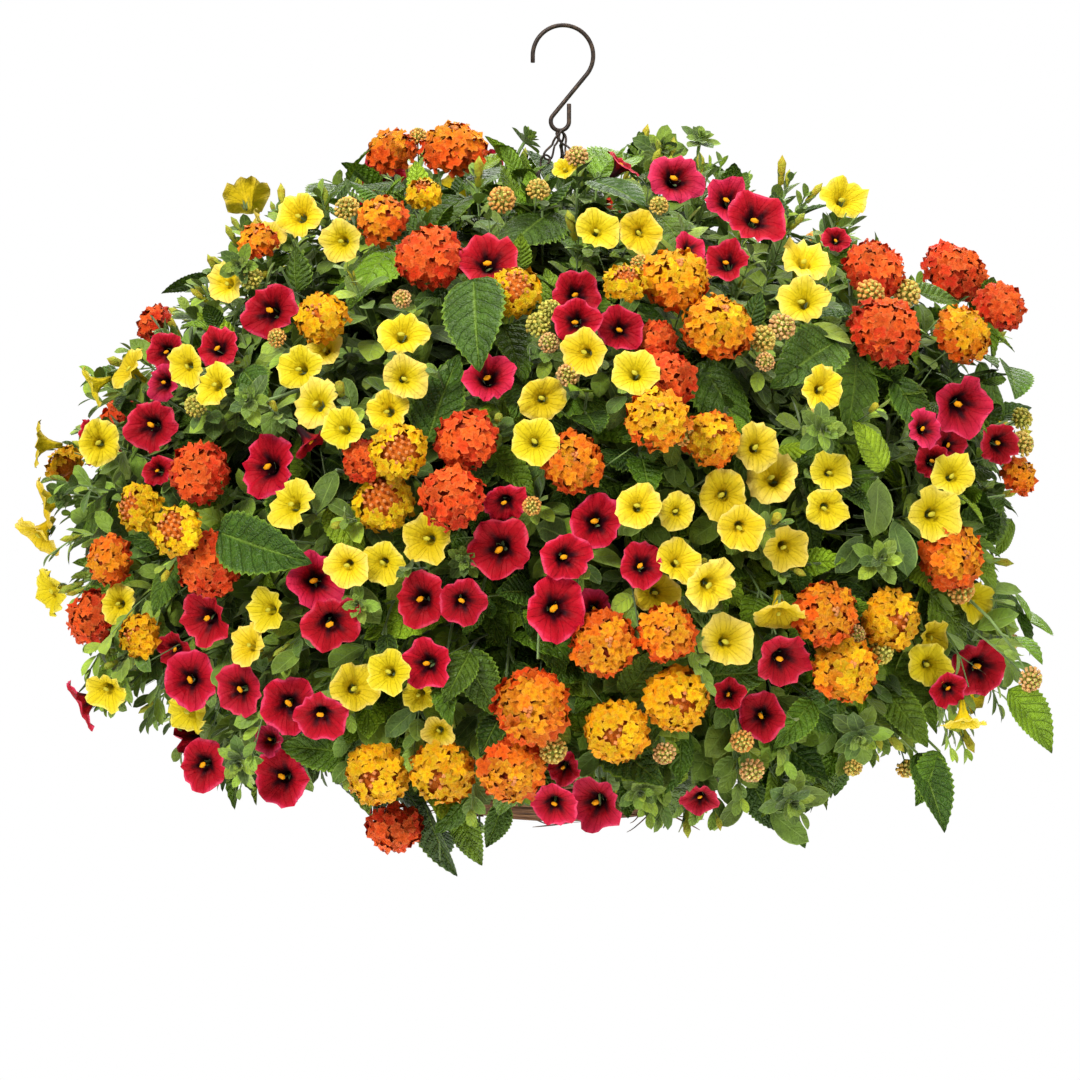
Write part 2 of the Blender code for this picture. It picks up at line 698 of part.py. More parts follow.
def solid_at(kind, spot, turn, attempt):
    """One try at a flower, leaf or shoot tip, in its place."""
    place, size = leaf_place(spot, attempt) if kind == "leaf" else flower_place(kind, spot, attempt)
    place = about_crown(turn) @ place
    points, faces, neck = FORMS[kind](size)
    points = [place @ p for p in points]
    back = Vector((0, -0.7, -0.7)) if kind == "leaf" else Vector((0, 0, -1))
    middle = sum((points[i] for i in neck), Vector()) / 3
    return {"points": points, "faces": faces, "neck": neck, "middle": middle, "back": place.to_3x3() @ back}


def far_turn(kind, spot, count):
    """The turn that takes one thing round to the flanks or the far side."""
    for turn in FAR_TURNS[count % len(FAR_TURNS):] + FAR_TURNS:
        if solid_at(kind, spot, turn, 0)["middle"].y > FAR_FRONT:
            return turn
    return FAR_TURNS[0]


def all_spots():
    """Everything that is planted, the near side first, as (kind, place on the plan, turn)."""
    tables = {"orange": ORANGE_HEADS, "gold": GOLD_HEADS, "red": RED_BELLS, "yellow": YELLOW_BELLS,
              "leaf": LEAVES, "tip": SHOOT_TIPS}
    near = [(kind, spot, 0) for kind, table in tables.items() for spot in table]
    far = []
    for kind, table in tables.items():
        share = FAR_SHARE[kind]
        for count, spot in enumerate(table[share - 1::share]):
            far.append((kind, spot, far_turn(kind, spot, count)))
    return near + far


def shared_ways(middles, count):
    """The ways from the crown's middle that share places out evenly among a few stems."""
    ways = [(middle - CROWN_CENTRE).normalized() for middle in middles]
    centres = [ways[0]]
    while len(centres) < count:
        centres.append(max(ways, key=lambda way: min((way - c).length for c in centres)))
    for _ in range(CLUSTER_ROUNDS):
        groups = [[] for _ in centres]
        for way in ways:
            groups[min(range(count), key=lambda k: (way - centres[k]).length)].append(way)
        centres = [sum(g, Vector()).normalized() if g else c for c, g in zip(centres, groups)]
    return centres


def pushed_apart(ways):
    """The ways of the stems, with none too close to another and none too far down."""
    ways = [way.copy() for way in ways]
    for _ in range(SPREAD_ROUNDS):
        for i, way in enumerate(ways):
            push = Vector()
            for j, other in enumerate(ways):
                close = STEM_SPREAD - way.angle(other) if i != j else 0
                if close > 0:
                    push += (way - other).normalized() * close
            moved = (way + push * 0.3).normalized()
            moved.z = max(moved.z, math.cos(LOWEST_STEM))
            ways[i] = moved.normalized()
    return ways


def bezier(a, b, c, d, t):
    s = 1 - t
    return a * s**3 + b * (3 * s * s * t) + c * (3 * s * t * t) + d * t**3


def stem_line(way):
    """A stem from the floor of its hole, straight up, then over to its place inside the crown.

    The lower a stem hangs, the nearer the rim it grows, so that no stem crosses another.
    """
    share = min(1.0, way.angle(Vector((0, 0, 1))) / LOWEST_STEM)
    low = max(0.0, share * 2 - 1)
    flat = Vector((way.x, way.y, 0)).normalized()
    foot = flat * (FOOT_CIRCLE * share**0.8)
    reach = STEM_REACH + LOW_STEM_REACH * low
    end = CROWN_CENTRE + way * reach * CROWN_RADII
    ground = Vector((foot.x, foot.y, soil_top() + 0.006))
    above = Vector((foot.x * 1.1, foot.y * 1.1, RIM_Z + 0.024 + 0.012 * low))
    over = end + Vector((0, 0, 0.004 + 0.050 * low)) - flat * 0.012
    foot.z = soil_top() - HOLE_DEPTH + FIT_GAP
    return [foot, *[bezier(ground, above, over, end, t) for t in (0.0, 0.45, 1.0)]]


def along_line(line, share):
    """The point at a share of a stem's length above the soil."""
    path = line[1:]
    lengths = [(b - a).length for a, b in zip(path, path[1:])]
    left = share * sum(lengths)
    for a, b, length in zip(path, path[1:], lengths):
        if left <= length:
            return a.lerp(b, left / length)
        left -= length
    return path[-1]


def stem_roots(item, stems):
    """Where a stalk could start, the nearest first, as (place, stem's name)."""
    draw = random.Random(str(tuple(item["middle"])))
    found = []
    for name, line in stems.items():
        for share in ROOT_SHARES:
            root = along_line(line, share + draw.uniform(-ROOT_SHIFT, ROOT_SHIFT))
            way = root - item["middle"]
            if way.length > LEAST_STALK and way.normalized().dot(item["back"]) > LEAST_BACK:
                found.append((way.length, name, root))
    return [(root, name) for _, name, root in sorted(found, key=lambda f: f[:2])[:MOST_ROOTS]]


def stalk(item, root):
    """A stalk alone, with three sides, from an item's neck to a point inside its stem."""
    neck = [item["points"][i] for i in item["neck"]]
    foot = [p + root - item["middle"] for p in neck]
    faces = [(0, 1, 2), (5, 4, 3), (0, 3, 4, 1), (1, 4, 5, 2), (2, 5, 3, 0)]
    return [*neck, *foot], faces


def with_stalk(item, foot):
    """The flower or leaf and its stalk as one closed mesh."""
    first = len(item["points"])
    neck = item["neck"]
    faces = list(item["faces"])
    for i in range(3):
        j = (i + 1) % 3
        faces.append((neck[i], neck[j], first + j, first + i))
    faces.append((first, first + 1, first + 2))
    return outward_mesh([*item["points"], *foot], faces)


def plant_one(room, kind, spot, turn, stems):
    """Puts one thing in with its stalk, at the first try that is clear, as (stem's name, mesh)."""
    for attempt in range(len(DEPTHS) * TURN_TRIES):
        item = solid_at(kind, spot, turn, attempt)
        shut = [*item["faces"], item["neck"]]
        if not room.is_free(item["points"], shut):
            continue
        own = BVHTree.FromPolygons(item["points"], shut)
        for root, name in stem_roots(item, stems):
            points, faces = stalk(item, root)
            away = (root - item["middle"]).normalized() * STALK_START
            past_neck = [*[p + away for p in points[:3]], *points[3:]]
            if own.overlap(BVHTree.FromPolygons(past_neck, faces)):
                continue
            if room.is_free(points, faces, name):
                room.add(item["points"], shut)
                room.add(points, faces)
                return name, with_stalk(item, points[3:])
    return None


def stem(room, way, feet):
    """A stem that is clear of what stands already, turned a little further round until it is."""
    for turn in STEM_TURNS:
        line = stem_line(Matrix.Rotation(math.radians(turn), 3, "Z") @ way)
        mesh = wire_mesh(line, STEM_RADIUS, 0)
        apart = all((line[0] - foot).length > LEAST_FOOT for foot in feet)
        if apart and room.is_free(*parts_of(mesh)):
            break
    return line, mesh


def plants(room):
    """Every stem with what grows on it. Returns where the stems stand in the soil."""
    spots = all_spots()
    kinds, names, ways = [], [], []
    for kind, (name, count) in STEMS.items():
        middles = [solid_at(*spot, 0)["middle"] for spot in spots if spot[0] == kind]
        kinds += [kind] * count
        names += [f"{name}_{number + 1}" for number in range(count)]
        ways += shared_ways(middles, count)
    stems = {kind: {} for kind in STEMS}
    pieces = {}
    feet = []
    for kind, name, way in zip(kinds, names, pushed_apart(ways)):
        line, mesh = stem(room, way, feet)
        feet.append(line[0])
        room.add_mesh(mesh, name)
        stems[kind][name] = line
        pieces[name] = [mesh]
    for kind, spot, turn in spots:
        planted = plant_one(room, kind, spot, turn, stems[kind])
        if planted:
            pieces[planted[0]].append(planted[1])
    for kind, name in zip(kinds, names):
        show(name, joined(pieces[name]), kind)
    return feet


clear_scene()
PART = collection("lantana_hanging_basket")
CUTTERS = collection("cutters")


def main():
    room = Room()
    hook = s_hook()
    show("s_hook", hook, "wire")
    room.add_mesh(hook)
    for index, (name, degrees) in enumerate(CHAIN_ANGLES.items()):
        links = chain(*chain_ends(index, degrees))
        show(name, links, "wire")
        room.add_mesh(links)
    room.add_mesh(evaluated(bowl()))
    liner()
    soil(plants(room))


main()
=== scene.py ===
import logging
import math
import random
from collections.abc import Collection, Iterable, Iterator, Sequence
from dataclasses import dataclass
from enum import Enum
from operator import itemgetter

import bmesh
import bpy
from mathutils import Matrix, Vector, kdtree, noise


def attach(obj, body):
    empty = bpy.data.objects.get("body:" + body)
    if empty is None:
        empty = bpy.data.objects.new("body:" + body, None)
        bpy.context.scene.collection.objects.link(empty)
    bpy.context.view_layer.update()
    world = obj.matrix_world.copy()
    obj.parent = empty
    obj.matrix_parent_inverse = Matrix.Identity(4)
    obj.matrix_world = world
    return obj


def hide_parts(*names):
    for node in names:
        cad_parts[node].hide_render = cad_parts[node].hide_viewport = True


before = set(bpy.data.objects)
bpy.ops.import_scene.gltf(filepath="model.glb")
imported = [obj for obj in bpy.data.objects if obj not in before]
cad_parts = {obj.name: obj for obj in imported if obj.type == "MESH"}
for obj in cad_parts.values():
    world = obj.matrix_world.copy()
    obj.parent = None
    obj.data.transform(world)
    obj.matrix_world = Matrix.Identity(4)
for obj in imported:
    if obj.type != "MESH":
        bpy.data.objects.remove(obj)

log = logging.getLogger("hanging_basket")

Colour = tuple[float, float, float, float]
Line = list[Vector]
Material = bpy.types.Material
Mesh = bpy.types.Mesh
Vert = bmesh.types.BMVert
Edge = bmesh.types.BMEdge

BODY = "root"
SEED = 20
TINT = "tint"
WHERE = "where"

UP = Vector((0, 0, 1))
MERGE = 1e-6

# The viewer's eye, and the plan of the near side whose steps are this size at the crown's middle
EYE_DISTANCE = 2.4
EYE_TILT = math.radians(6)
PLAN_STEP = 0.0006
PLAN_MIDDLE = 540
HOOK_ON_PLAN = (563, 27.4)
SENSOR = 36.0
FARTHEST = 60

GOLDEN_ANGLE = math.pi * (3 - math.sqrt(5))


def paint(red: int, green: int, blue: int) -> Colour:
    """A colour of a paint chart, given from 0 to 255, in linear light and with full cover."""
    linear = [c / 3294.6 if c < 10.31 else ((c / 255 + 0.055) / 1.055) ** 2.4 for c in (red, green, blue)]
    return (*linear, 1.0)


def shade(colour: Colour, brightness: float, warmth: float = 0.0) -> Colour:
    """A colour made brighter or darker, and warmer by the share by which red grows and blue shrinks."""
    red, green, blue, cover = colour
    return (red * brightness * (1 + warmth), green * brightness, blue * brightness * (1 - warmth), cover)


def blend(first: Colour, second: Colour, share: float) -> Colour:
    """The colour between two, at a share of the way to the second."""
    return tuple(a + (b - a) * share for a, b in zip(first, second))


# Shader nodes


class Signal:
    """A socket of a material, with arithmetic that adds Math nodes."""

    def __init__(self, nodes: "NodeBook", socket: bpy.types.NodeSocket) -> None:
        """Wraps a socket of a material's nodes."""
        self.nodes = nodes
        self.socket = socket

    def _with(self, operation: str, *others: "Signal | float") -> "Signal":
        """This value and others through one Math node."""
        return self.nodes.math(operation, self, *others)

    def __add__(self, other: "Signal | float") -> "Signal":
        """The sum with another value."""
        return self._with("ADD", other)

    def __sub__(self, other: "Signal | float") -> "Signal":
        """What is left after another value is taken away."""
        return self._with("SUBTRACT", other)

    def __rsub__(self, other: float) -> "Signal":
        """A number less this value."""
        return self.nodes.math("SUBTRACT", other, self)

    def __mul__(self, other: "Signal | float") -> "Signal":
        """The product with another value."""
        return self._with("MULTIPLY", other)

    __radd__ = __add__
    __rmul__ = __mul__

    def __abs__(self) -> "Signal":
        """The value without its sign."""
        return self._with("ABSOLUTE")

    def fraction(self) -> "Signal":
        """What stands behind the point."""
        return self._with("FRACT")

    def rise(self, start: float, end: float) -> "Signal":
        """A smooth step that leaves 0 at the start and reaches 1 at the end, on either side of it."""
        values = {"Value": self, "From Min": start, "From Max": end}
        made = self.nodes.node("ShaderNodeMapRange", {"interpolation_type": "SMOOTHSTEP"}, values)
        return Signal(self.nodes, made.outputs["Result"])


class NodeBook:
    """The nodes of one material."""

    def __init__(self, name: str) -> None:
        """Starts a material with no nodes."""
        self.material = bpy.data.materials.new(name)
        self.material.use_nodes = True
        self.tree = self.material.node_tree
        self.tree.nodes.clear()

    def node(
        self,
        kind: str,
        settings: dict[str, object] | None = None,
        values: dict[str | int, object] | None = None,
    ) -> bpy.types.Node:
        """Adds a node.

        Args:
            kind: The node's type.
            settings: What is set on the node first, such as its operation or a ramp's stops.
            values: Numbers, colours or signals for its sockets.

        Returns:
            The new node.
        """
        made = self.tree.nodes.new(kind)
        for key, value in (settings or {}).items():
            if key == "stops":
                self._stops(made.color_ramp, value)
            else:
                setattr(made, key, value)
        for key, value in (values or {}).items():
            if isinstance(value, Signal):
                self.tree.links.new(value.socket, made.inputs[key])
            else:
                made.inputs[key].default_value = value
        return made

    @staticmethod
    def _stops(ramp: bpy.types.ColorRamp, stops: Sequence[tuple[float, Colour]]) -> None:
        """Sets a ramp's colours.

        Args:
            ramp: The ramp.
            stops: Its places from 0 to 1 with their colours, in order.
        """
        while len(ramp.elements) < len(stops):
            ramp.elements.new(1.0)
        for element, stop in zip(ramp.elements, stops):
            element.position, element.color = stop

    def math(self, operation: str, *values: "Signal | float") -> Signal:
        """A Math node of the values, in order."""
        made = self.node("ShaderNodeMath", {"operation": operation}, dict(enumerate(values)))
        return Signal(self, made.outputs[0])

    def ramp(self, value: Signal, stops: Sequence[tuple[float, Colour]]) -> Signal:
        """The colour that a ramp gives for a value."""
        made = self.node("ShaderNodeValToRGB", {"stops": stops}, {"Fac": value})
        return Signal(self, made.outputs["Color"])

    def mix(self, share: Signal | float, first: object, second: object, how: str = "MIX") -> Signal:
        """Two colours mixed in some way, with a share of the second one."""
        settings = {"data_type": "RGBA", "blend_type": how}
        made = self.node("ShaderNodeMix", settings, {0: share, 6: first, 7: second})
        return Signal(self, made.outputs[2])

    def place(self, stretch: tuple[float, float, float] = (1, 1, 1)) -> Signal:
        """The point on the object in metres, stretched along each axis."""
        where = self.node("ShaderNodeTexCoord").outputs["Object"]
        made = self.node("ShaderNodeMapping", None, {"Vector": Signal(self, where), "Scale": stretch})
        return Signal(self, made.outputs["Vector"])

    def noise(self, scale: float, detail: float = 2.0, place: Signal | None = None) -> Signal:
        """A soft noise from 0 to 1, with so many waves in a metre and so many finer layers."""
        values = {"Vector": place or self.place(), "Scale": scale, "Detail": detail}
        return Signal(self, self.node("ShaderNodeTexNoise", None, values).outputs["Fac"])

    def cells(self, scale: float) -> Signal:
        """How far away the nearest border is, in a net with so many cells in a metre."""
        values = {"Vector": self.place(), "Scale": scale}
        made = self.node("ShaderNodeTexVoronoi", {"feature": "DISTANCE_TO_EDGE"}, values)
        return Signal(self, made.outputs["Distance"])

    def carried(self, name: str) -> bpy.types.Node:
        """The node that reads an attribute carried by the mesh."""
        return self.node("ShaderNodeAttribute", {"attribute_name": name})

    def tint(self) -> Signal:
        """The colour that a mesh carries."""
        return Signal(self, self.carried(TINT).outputs["Color"])

    def where(self) -> list[Signal]:
        """The three numbers that tell where on a petal or blade a point is."""
        vector = Signal(self, self.carried(WHERE).outputs["Vector"])
        made = self.node("ShaderNodeSeparateXYZ", None, {"Vector": vector})
        return [Signal(self, socket) for socket in made.outputs]

    def bump(self, height: Signal, depth: float) -> Signal:
        """The normal of a surface roughened by a height from 0 to 1, where 1 is so many metres."""
        made = self.node("ShaderNodeBump", None, {"Height": height, "Distance": depth, "Strength": 1.0})
        return Signal(self, made.outputs["Normal"])

    def finish(
        self,
        colour: Signal | Colour,
        roughness: Signal | float,
        normal: Signal | None = None,
        **fixed: object,
    ) -> Material:
        """Closes the material with its shader.

        Args:
            colour: The base colour.
            roughness: The roughness.
            normal: The normal, or None for the smooth one.
            fixed: Numbers for other sockets, by their names with _ for a space.

        Returns:
            The finished material.
        """
        values = {"Base Color": colour, "Roughness": roughness}
        values |= {name.replace("_", " "): value for name, value in fixed.items()}
        if normal:
            values["Normal"] = normal
        shader = Signal(self, self.node("ShaderNodeBsdfPrincipled", None, values).outputs["BSDF"])
        self.node("ShaderNodeOutputMaterial", None, {"Surface": shader})
        return self.material


# Finishes

WHITE = paint(255, 255, 255)
DUSKY = paint(168, 172, 160)


@dataclass(frozen=True)
class WireFinish:
    """Dark bronze paint on wire, worn a little brown."""

    name: str = "dark_bronze_wire"
    fresh: Colour = paint(54, 45, 40)
    worn: Colour = paint(92, 74, 60)

    def material(self) -> Material:
        """Builds the finish."""
        book = NodeBook(self.name)
        patches = book.noise(420, 4)
        colour = book.mix(patches.rise(0.45, 0.75), self.fresh, self.worn)
        rough = 0.34 + 0.25 * patches
        return book.finish(colour, rough, book.bump(book.noise(2600, 3), 0.00006), Metallic=0.55)


@dataclass(frozen=True)
class BarkFinish:
    """Vine bark: brown, with fibres that run round the bowl."""

    name: str = "vine_bark"
    dark: Colour = paint(62, 42, 27)
    middle: Colour = paint(122, 88, 58)
    pale: Colour = paint(176, 142, 104)

    def material(self) -> Material:
        """Builds the finish."""
        book = NodeBook(self.name)
        strands = book.noise(55, 6, book.place((1, 1, 14)))
        blotches = book.noise(38, 3)
        colour = book.ramp(strands, [(0.3, self.dark), (0.52, self.middle), (0.75, self.pale)])
        colour = book.mix(0.55, colour, book.ramp(blotches, [(0.3, self.dark), (0.7, self.pale)]), "OVERLAY")
        return book.finish(colour, 0.82, book.bump(strands, 0.0012), Specular_IOR_Level=0.25)


@dataclass(frozen=True)
class LinerFinish:
    """A dark moulded liner, dusty with soil."""

    name: str = "liner"
    base: Colour = paint(38, 34, 30)
    dust: Colour = paint(78, 62, 48)

    def material(self) -> Material:
        """Builds the finish."""
        book = NodeBook(self.name)
        dusty = book.noise(60, 4).rise(0.45, 0.7)
        colour = book.mix(dusty * 0.6, self.base, self.dust)
        return book.finish(colour, 0.55 + 0.25 * dusty, book.bump(book.noise(900, 2), 0.0002))


@dataclass(frozen=True)
class SoilFinish:
    """Damp potting soil."""

    name: str = "soil"
    damp: Colour = paint(36, 26, 18)
    dry: Colour = paint(88, 66, 46)

    def material(self) -> Material:
        """Builds the finish."""
        book = NodeBook(self.name)
        crumbs = book.noise(420, 5)
        colour = book.mix(crumbs.rise(0.4, 0.7), self.damp, self.dry)
        tinted = book.mix(1.0, colour, book.tint(), "MULTIPLY")
        return book.finish(tinted, 0.92, book.bump(crumbs, 0.0015))


@dataclass(frozen=True)
class FloretFinish:
    """Lantana petals and buds: the tint they carry, an eye, and crinkles."""

    name: str
    eye: Colour = paint(172, 60, 12)
    blush: Colour = paint(236, 168, 148)

    def material(self) -> Material:
        """Builds the finish."""
        book = NodeBook(self.name)
        out, _, _ = book.where()
        specks = book.noise(900, 3)
        pale = book.ramp(specks, [(0.3, paint(178, 170, 150)), (0.7, WHITE)])
        deep = book.ramp(book.noise(320, 3), [(0.34, self.blush), (0.56, WHITE)])
        colour = book.mix(0.45, book.tint(), pale, "MULTIPLY")
        colour = book.mix(0.55, colour, deep, "MULTIPLY")
        colour = book.mix(out.rise(0.62, 0.98) * 0.08, colour, paint(255, 206, 120))
        colour = book.mix(out.rise(0.36, 0.02) * 0.55, colour, self.eye)
        normal = book.bump(book.noise(1300, 3), 0.0012)
        return book.finish(colour, 0.55, normal, Specular_IOR_Level=0.15)


@dataclass(frozen=True)
class BellFinish:
    """Calibrachoa petals: bands from throat to edge, veins, and the age of each bloom."""

    name: str
    bands: tuple[tuple[float, Colour], ...]
    old: Colour
    vein: Colour
    eye: Colour
    vein_reach: float
    vein_strength: float

    def material(self) -> Material:
        """Builds the finish."""
        book = NodeBook(self.name)
        out, from_lobe, _ = book.where()
        age = Signal(book, book.carried(TINT).outputs["Alpha"])
        arm = from_lobe.rise(0.6, 0.0) * 0.16
        colour = book.ramp(out - arm + 0.06 + (book.noise(200, 3) - 0.5) * 0.2, self.bands)
        colour = book.mix(1.0, colour, book.tint(), "MULTIPLY")
        colour = book.mix(age.rise(0.2, 1.0) * out.rise(0.35, 1.0) * 0.6, colour, self.old)
        main = from_lobe.rise(0.1, 0.0)
        side = abs((from_lobe * 2.5 + out * 1.1).fraction() - 0.5).rise(0.12, 0.0) * 0.45
        fading = out.rise(self.vein_reach, self.vein_reach * 0.25)
        lines = book.math("MAXIMUM", main, side)
        colour = book.mix(lines * fading * self.vein_strength, colour, self.vein)
        colour = book.mix((0.0 - out).rise(0.2, 0.6), colour, self.eye)
        ripple = book.noise(300, 3) * 0.7 + lines * 0.3
        return book.finish(colour, 0.6, book.bump(ripple, 0.002), Specular_IOR_Level=0.12)


@dataclass(frozen=True)
class BladeFinish:
    """A leaf: the tint it carries, veins that rise to its tip with painted shade along the side veins'
    creases, and puckers between them.
    """

    name: str
    pairs: float
    slant: float
    vein: Colour
    painted_crease_shade: Colour
    edge: Colour
    pucker: float
    gloss: float
    sheen: float

    def material(self) -> Material:
        """Builds the finish."""
        book = NodeBook(self.name)
        across, along, _ = book.where()
        aside = abs(across)
        wobble = (book.noise(120, 2) - 0.5) * 0.5
        beat = (along * self.pairs - aside * self.slant + wobble).fraction()
        beat_line = abs(beat - 0.5)
        side = beat_line.rise(0.42, 0.5)
        rib = aside.rise(0.09, 0.0)
        veins = book.math("MAXIMUM", rib, side * 0.7)
        patches = book.noise(90, 3)
        mottled = book.ramp(patches, [(0.25, DUSKY), (0.75, WHITE)])
        colour = book.mix(1.0, book.tint(), mottled, "MULTIPLY")
        net = book.cells(430).rise(0.0, 0.3)
        colour = book.mix(net.rise(0.6, 0.0) * 0.07, colour, self.vein)
        # Painted shade: the side veins are darkened as if shade lay in their creases.
        colour = book.mix(side * 0.2, colour, self.painted_crease_shade)
        colour = book.mix(rib * 0.4, colour, self.vein)
        colour = book.mix(aside.rise(0.86, 1.0) * 0.45, colour, self.edge)
        relief = (1.0 - beat_line * 2.0) * 0.34 + (1.0 - veins) * 0.42 + net * 0.24
        rough = self.gloss + 0.18 * patches
        normal = book.bump(relief, self.pucker)
        return book.finish(colour, rough, normal, Specular_IOR_Level=0.3, Sheen_Weight=self.sheen)


@dataclass(frozen=True)
class StemFinish:
    """Green stems and stalks, a little browner where they are old."""

    name: str = "stem"
    young: Colour = paint(126, 156, 76)
    old: Colour = paint(74, 92, 44)

    def material(self) -> Material:
        """Builds the finish."""
        book = NodeBook(self.name)
        colour = book.mix(book.noise(30, 3).rise(0.35, 0.7), self.young, self.old)
        normal = book.bump(book.noise(1400, 2), 0.0003)
        return book.finish(colour, 0.55, normal, Sheen_Weight=0.3)


RED_PETAL = BellFinish(
    name="red_petal",
    bands=(
        (0.0, paint(24, 2, 8)),
        (0.26, paint(42, 3, 12)),
        (0.36, paint(90, 3, 12)),
        (0.52, paint(148, 4, 18)),
        (0.78, paint(172, 6, 28)),
        (0.92, paint(190, 20, 48)),
        (1.0, paint(216, 62, 92)),
    ),
    old=paint(222, 58, 106),
    vein=paint(70, 3, 20),
    eye=paint(240, 160, 16),
    vein_reach=1.05,
    vein_strength=0.45,
)
YELLOW_PETAL = BellFinish(
    name="yellow_petal",
    bands=(
        (0.0, paint(128, 122, 20)),
        (0.15, paint(176, 158, 20)),
        (0.26, paint(212, 186, 14)),
        (0.6, paint(220, 196, 24)),
        (0.86, paint(226, 202, 46)),
        (1.0, paint(238, 218, 96)),
    ),
    old=paint(232, 206, 108),
    vein=paint(150, 122, 14),
    eye=paint(196, 188, 56),
    vein_reach=1.0,
    vein_strength=0.36,
)
LANTANA_BLADE = BladeFinish(
    name="lantana_leaf",
    pairs=8.0,
    slant=1.8,
    vein=paint(150, 182, 66),
    painted_crease_shade=paint(40, 66, 16),
    edge=paint(150, 188, 50),
    pucker=0.0025,
    gloss=0.38,
    sheen=0.0,
)
CALIBRACHOA_BLADE = BladeFinish(
    name="calibrachoa_leaf",
    pairs=4.0,
    slant=1.2,
    vein=paint(160, 190, 88),
    painted_crease_shade=paint(70, 104, 40),
    edge=paint(172, 198, 98),
    pucker=0.0005,
    gloss=0.46,
    sheen=0.2,
)


# Shapes, each made once and set in many places


def blank() -> bmesh.types.BMesh:
    """An empty mesh with the layers that the finishes read."""
    shape = bmesh.new()
    shape.verts.layers.float_color.new(TINT)
    shape.verts.layers.float_vector.new(WHERE)
    return shape


class Shape:
    """A small shape that is set in many places."""

    def __init__(self, shape: bmesh.types.BMesh, where: Sequence[float] | None = None) -> None:
        """Takes the shape over from a bmesh.

        Args:
            shape: The bmesh, which is freed.
            where: What all its points carry as their place on the petal, or None to keep theirs.
        """
        if where:
            layer = shape.verts.layers.float_vector[WHERE]
            for vert in shape.verts:
                vert[layer] = where
        self.mesh = bpy.data.meshes.new("shape")
        shape.to_mesh(self.mesh)
        shape.free()


class Bunch:
    """One piece under way: shapes set in their places, each with its own tint."""

    def __init__(self, name: str) -> None:
        """Starts an empty piece."""
        self.name = name
        self._shape = blank()

    def add(self, shape: Shape, place: Matrix, tint: Colour, age: float = 0.0) -> None:
        """Sets a shape in its place.

        Args:
            shape: The shape.
            place: Where it goes, turned and scaled.
            tint: The colour that it carries.
            age: How old it is, from 0 to 1, which it carries as its tint's cover.
        """
        copy = shape.mesh.copy()
        copy.transform(place)
        copy.attributes[TINT].data.foreach_set("color", (*tint[:3], age) * len(copy.vertices))
        self._shape.from_mesh(copy)
        bpy.data.meshes.remove(copy)

    def mesh(self) -> Mesh:
        """Closes the piece and gives its mesh."""
        made = bpy.data.meshes.new(self.name)
        self._shape.to_mesh(made)
        self._shape.free()
        return made


def placed(name: str, data: bpy.types.ID) -> bpy.types.Object:
    """Puts a mesh, curve, lamp or camera in the scene."""
    made = bpy.data.objects.new(name, data)
    bpy.context.scene.collection.objects.link(made)
    return made


def show(
    mesh: Mesh,
    name: str,
    material: Material,
    slot: str,
    replaced: Iterable[str] = (),
) -> bpy.types.Object:
    """Puts a finished mesh in the scene as a piece of the basket.

    Args:
        mesh: The mesh, in its place.
        name: The piece's name.
        material: Its material.
        slot: The record's slot for its finish; not used.
        replaced: The nodes that it stands for.

    Returns:
        The new object.
    """
    mesh.materials.clear()
    mesh.materials.append(material)
    mesh.polygons.foreach_set("use_smooth", [True] * len(mesh.polygons))
    made = placed(name, mesh)
    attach(made, BODY)
    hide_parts(*replaced)
    log.info("%s: %d faces", name, len(mesh.polygons))
    return made


def aimed(origin: Vector, along: Vector, face: Vector, size: float = 1.0) -> Matrix:
    """The place of a blade.

    Args:
        origin: Where the blade starts.
        along: The way to its tip, which becomes Y.
        face: About the way out of its upper face, which becomes Z.
        size: Its scale.

    Returns:
        The place as a matrix.
    """
    way = along.normalized()
    side = way.cross(face)
    if side.length < MERGE:
        side = way.orthogonal()
    side.normalize()
    turn = Matrix((side, way, side.cross(way))).transposed().to_4x4()
    return Matrix.Translation(origin) @ turn @ Matrix.Scale(size, 4)


def faced(origin: Vector, out: Vector, size: float, spin: float = 0.0) -> Matrix:
    """The place of a bloom, with its Z out of its face, and turned in its face by some radians."""
    turn = out.to_track_quat("Z", "Y").to_matrix().to_4x4()
    return Matrix.Translation(origin) @ turn @ Matrix.Rotation(spin, 4, "Z") @ Matrix.Scale(size, 4)


def loose(draw: random.Random, size: float) -> Vector:
    """A small drawn vector."""
    return Vector([draw.uniform(-size, size) for _ in range(3)])


def round_axis(turn: float, reach: float, height: float) -> Vector:
    """The point at an angle round the upright axis, a distance from it and a height."""
    return Vector((math.cos(turn) * reach, math.sin(turn) * reach, height))


def on_ball(turn: float, height: float) -> Vector:
    """The point of a ball of radius 1 at an angle round its axis and a height."""
    return round_axis(turn, math.sqrt(max(0.0, 1 - height * height)), height)


def on_cap(index: int, count: int, span: float, start: float = 0.0) -> Vector:
    """One of many points spread evenly over a ball of radius 1, down to a span below its top."""
    return on_ball(start + index * GOLDEN_ANGLE, 1 - span * (index + 0.5) / count)


def mean(verts: Collection[Vert]) -> Vector:
    """The middle of some points of a mesh."""
    return sum((vert.co for vert in verts), Vector()) / len(verts)


def only(kind: type, items: Iterable[object]) -> list[object]:
    """The points, or the edges, among all that an operator has made."""
    return [item for item in items if isinstance(item, kind)]


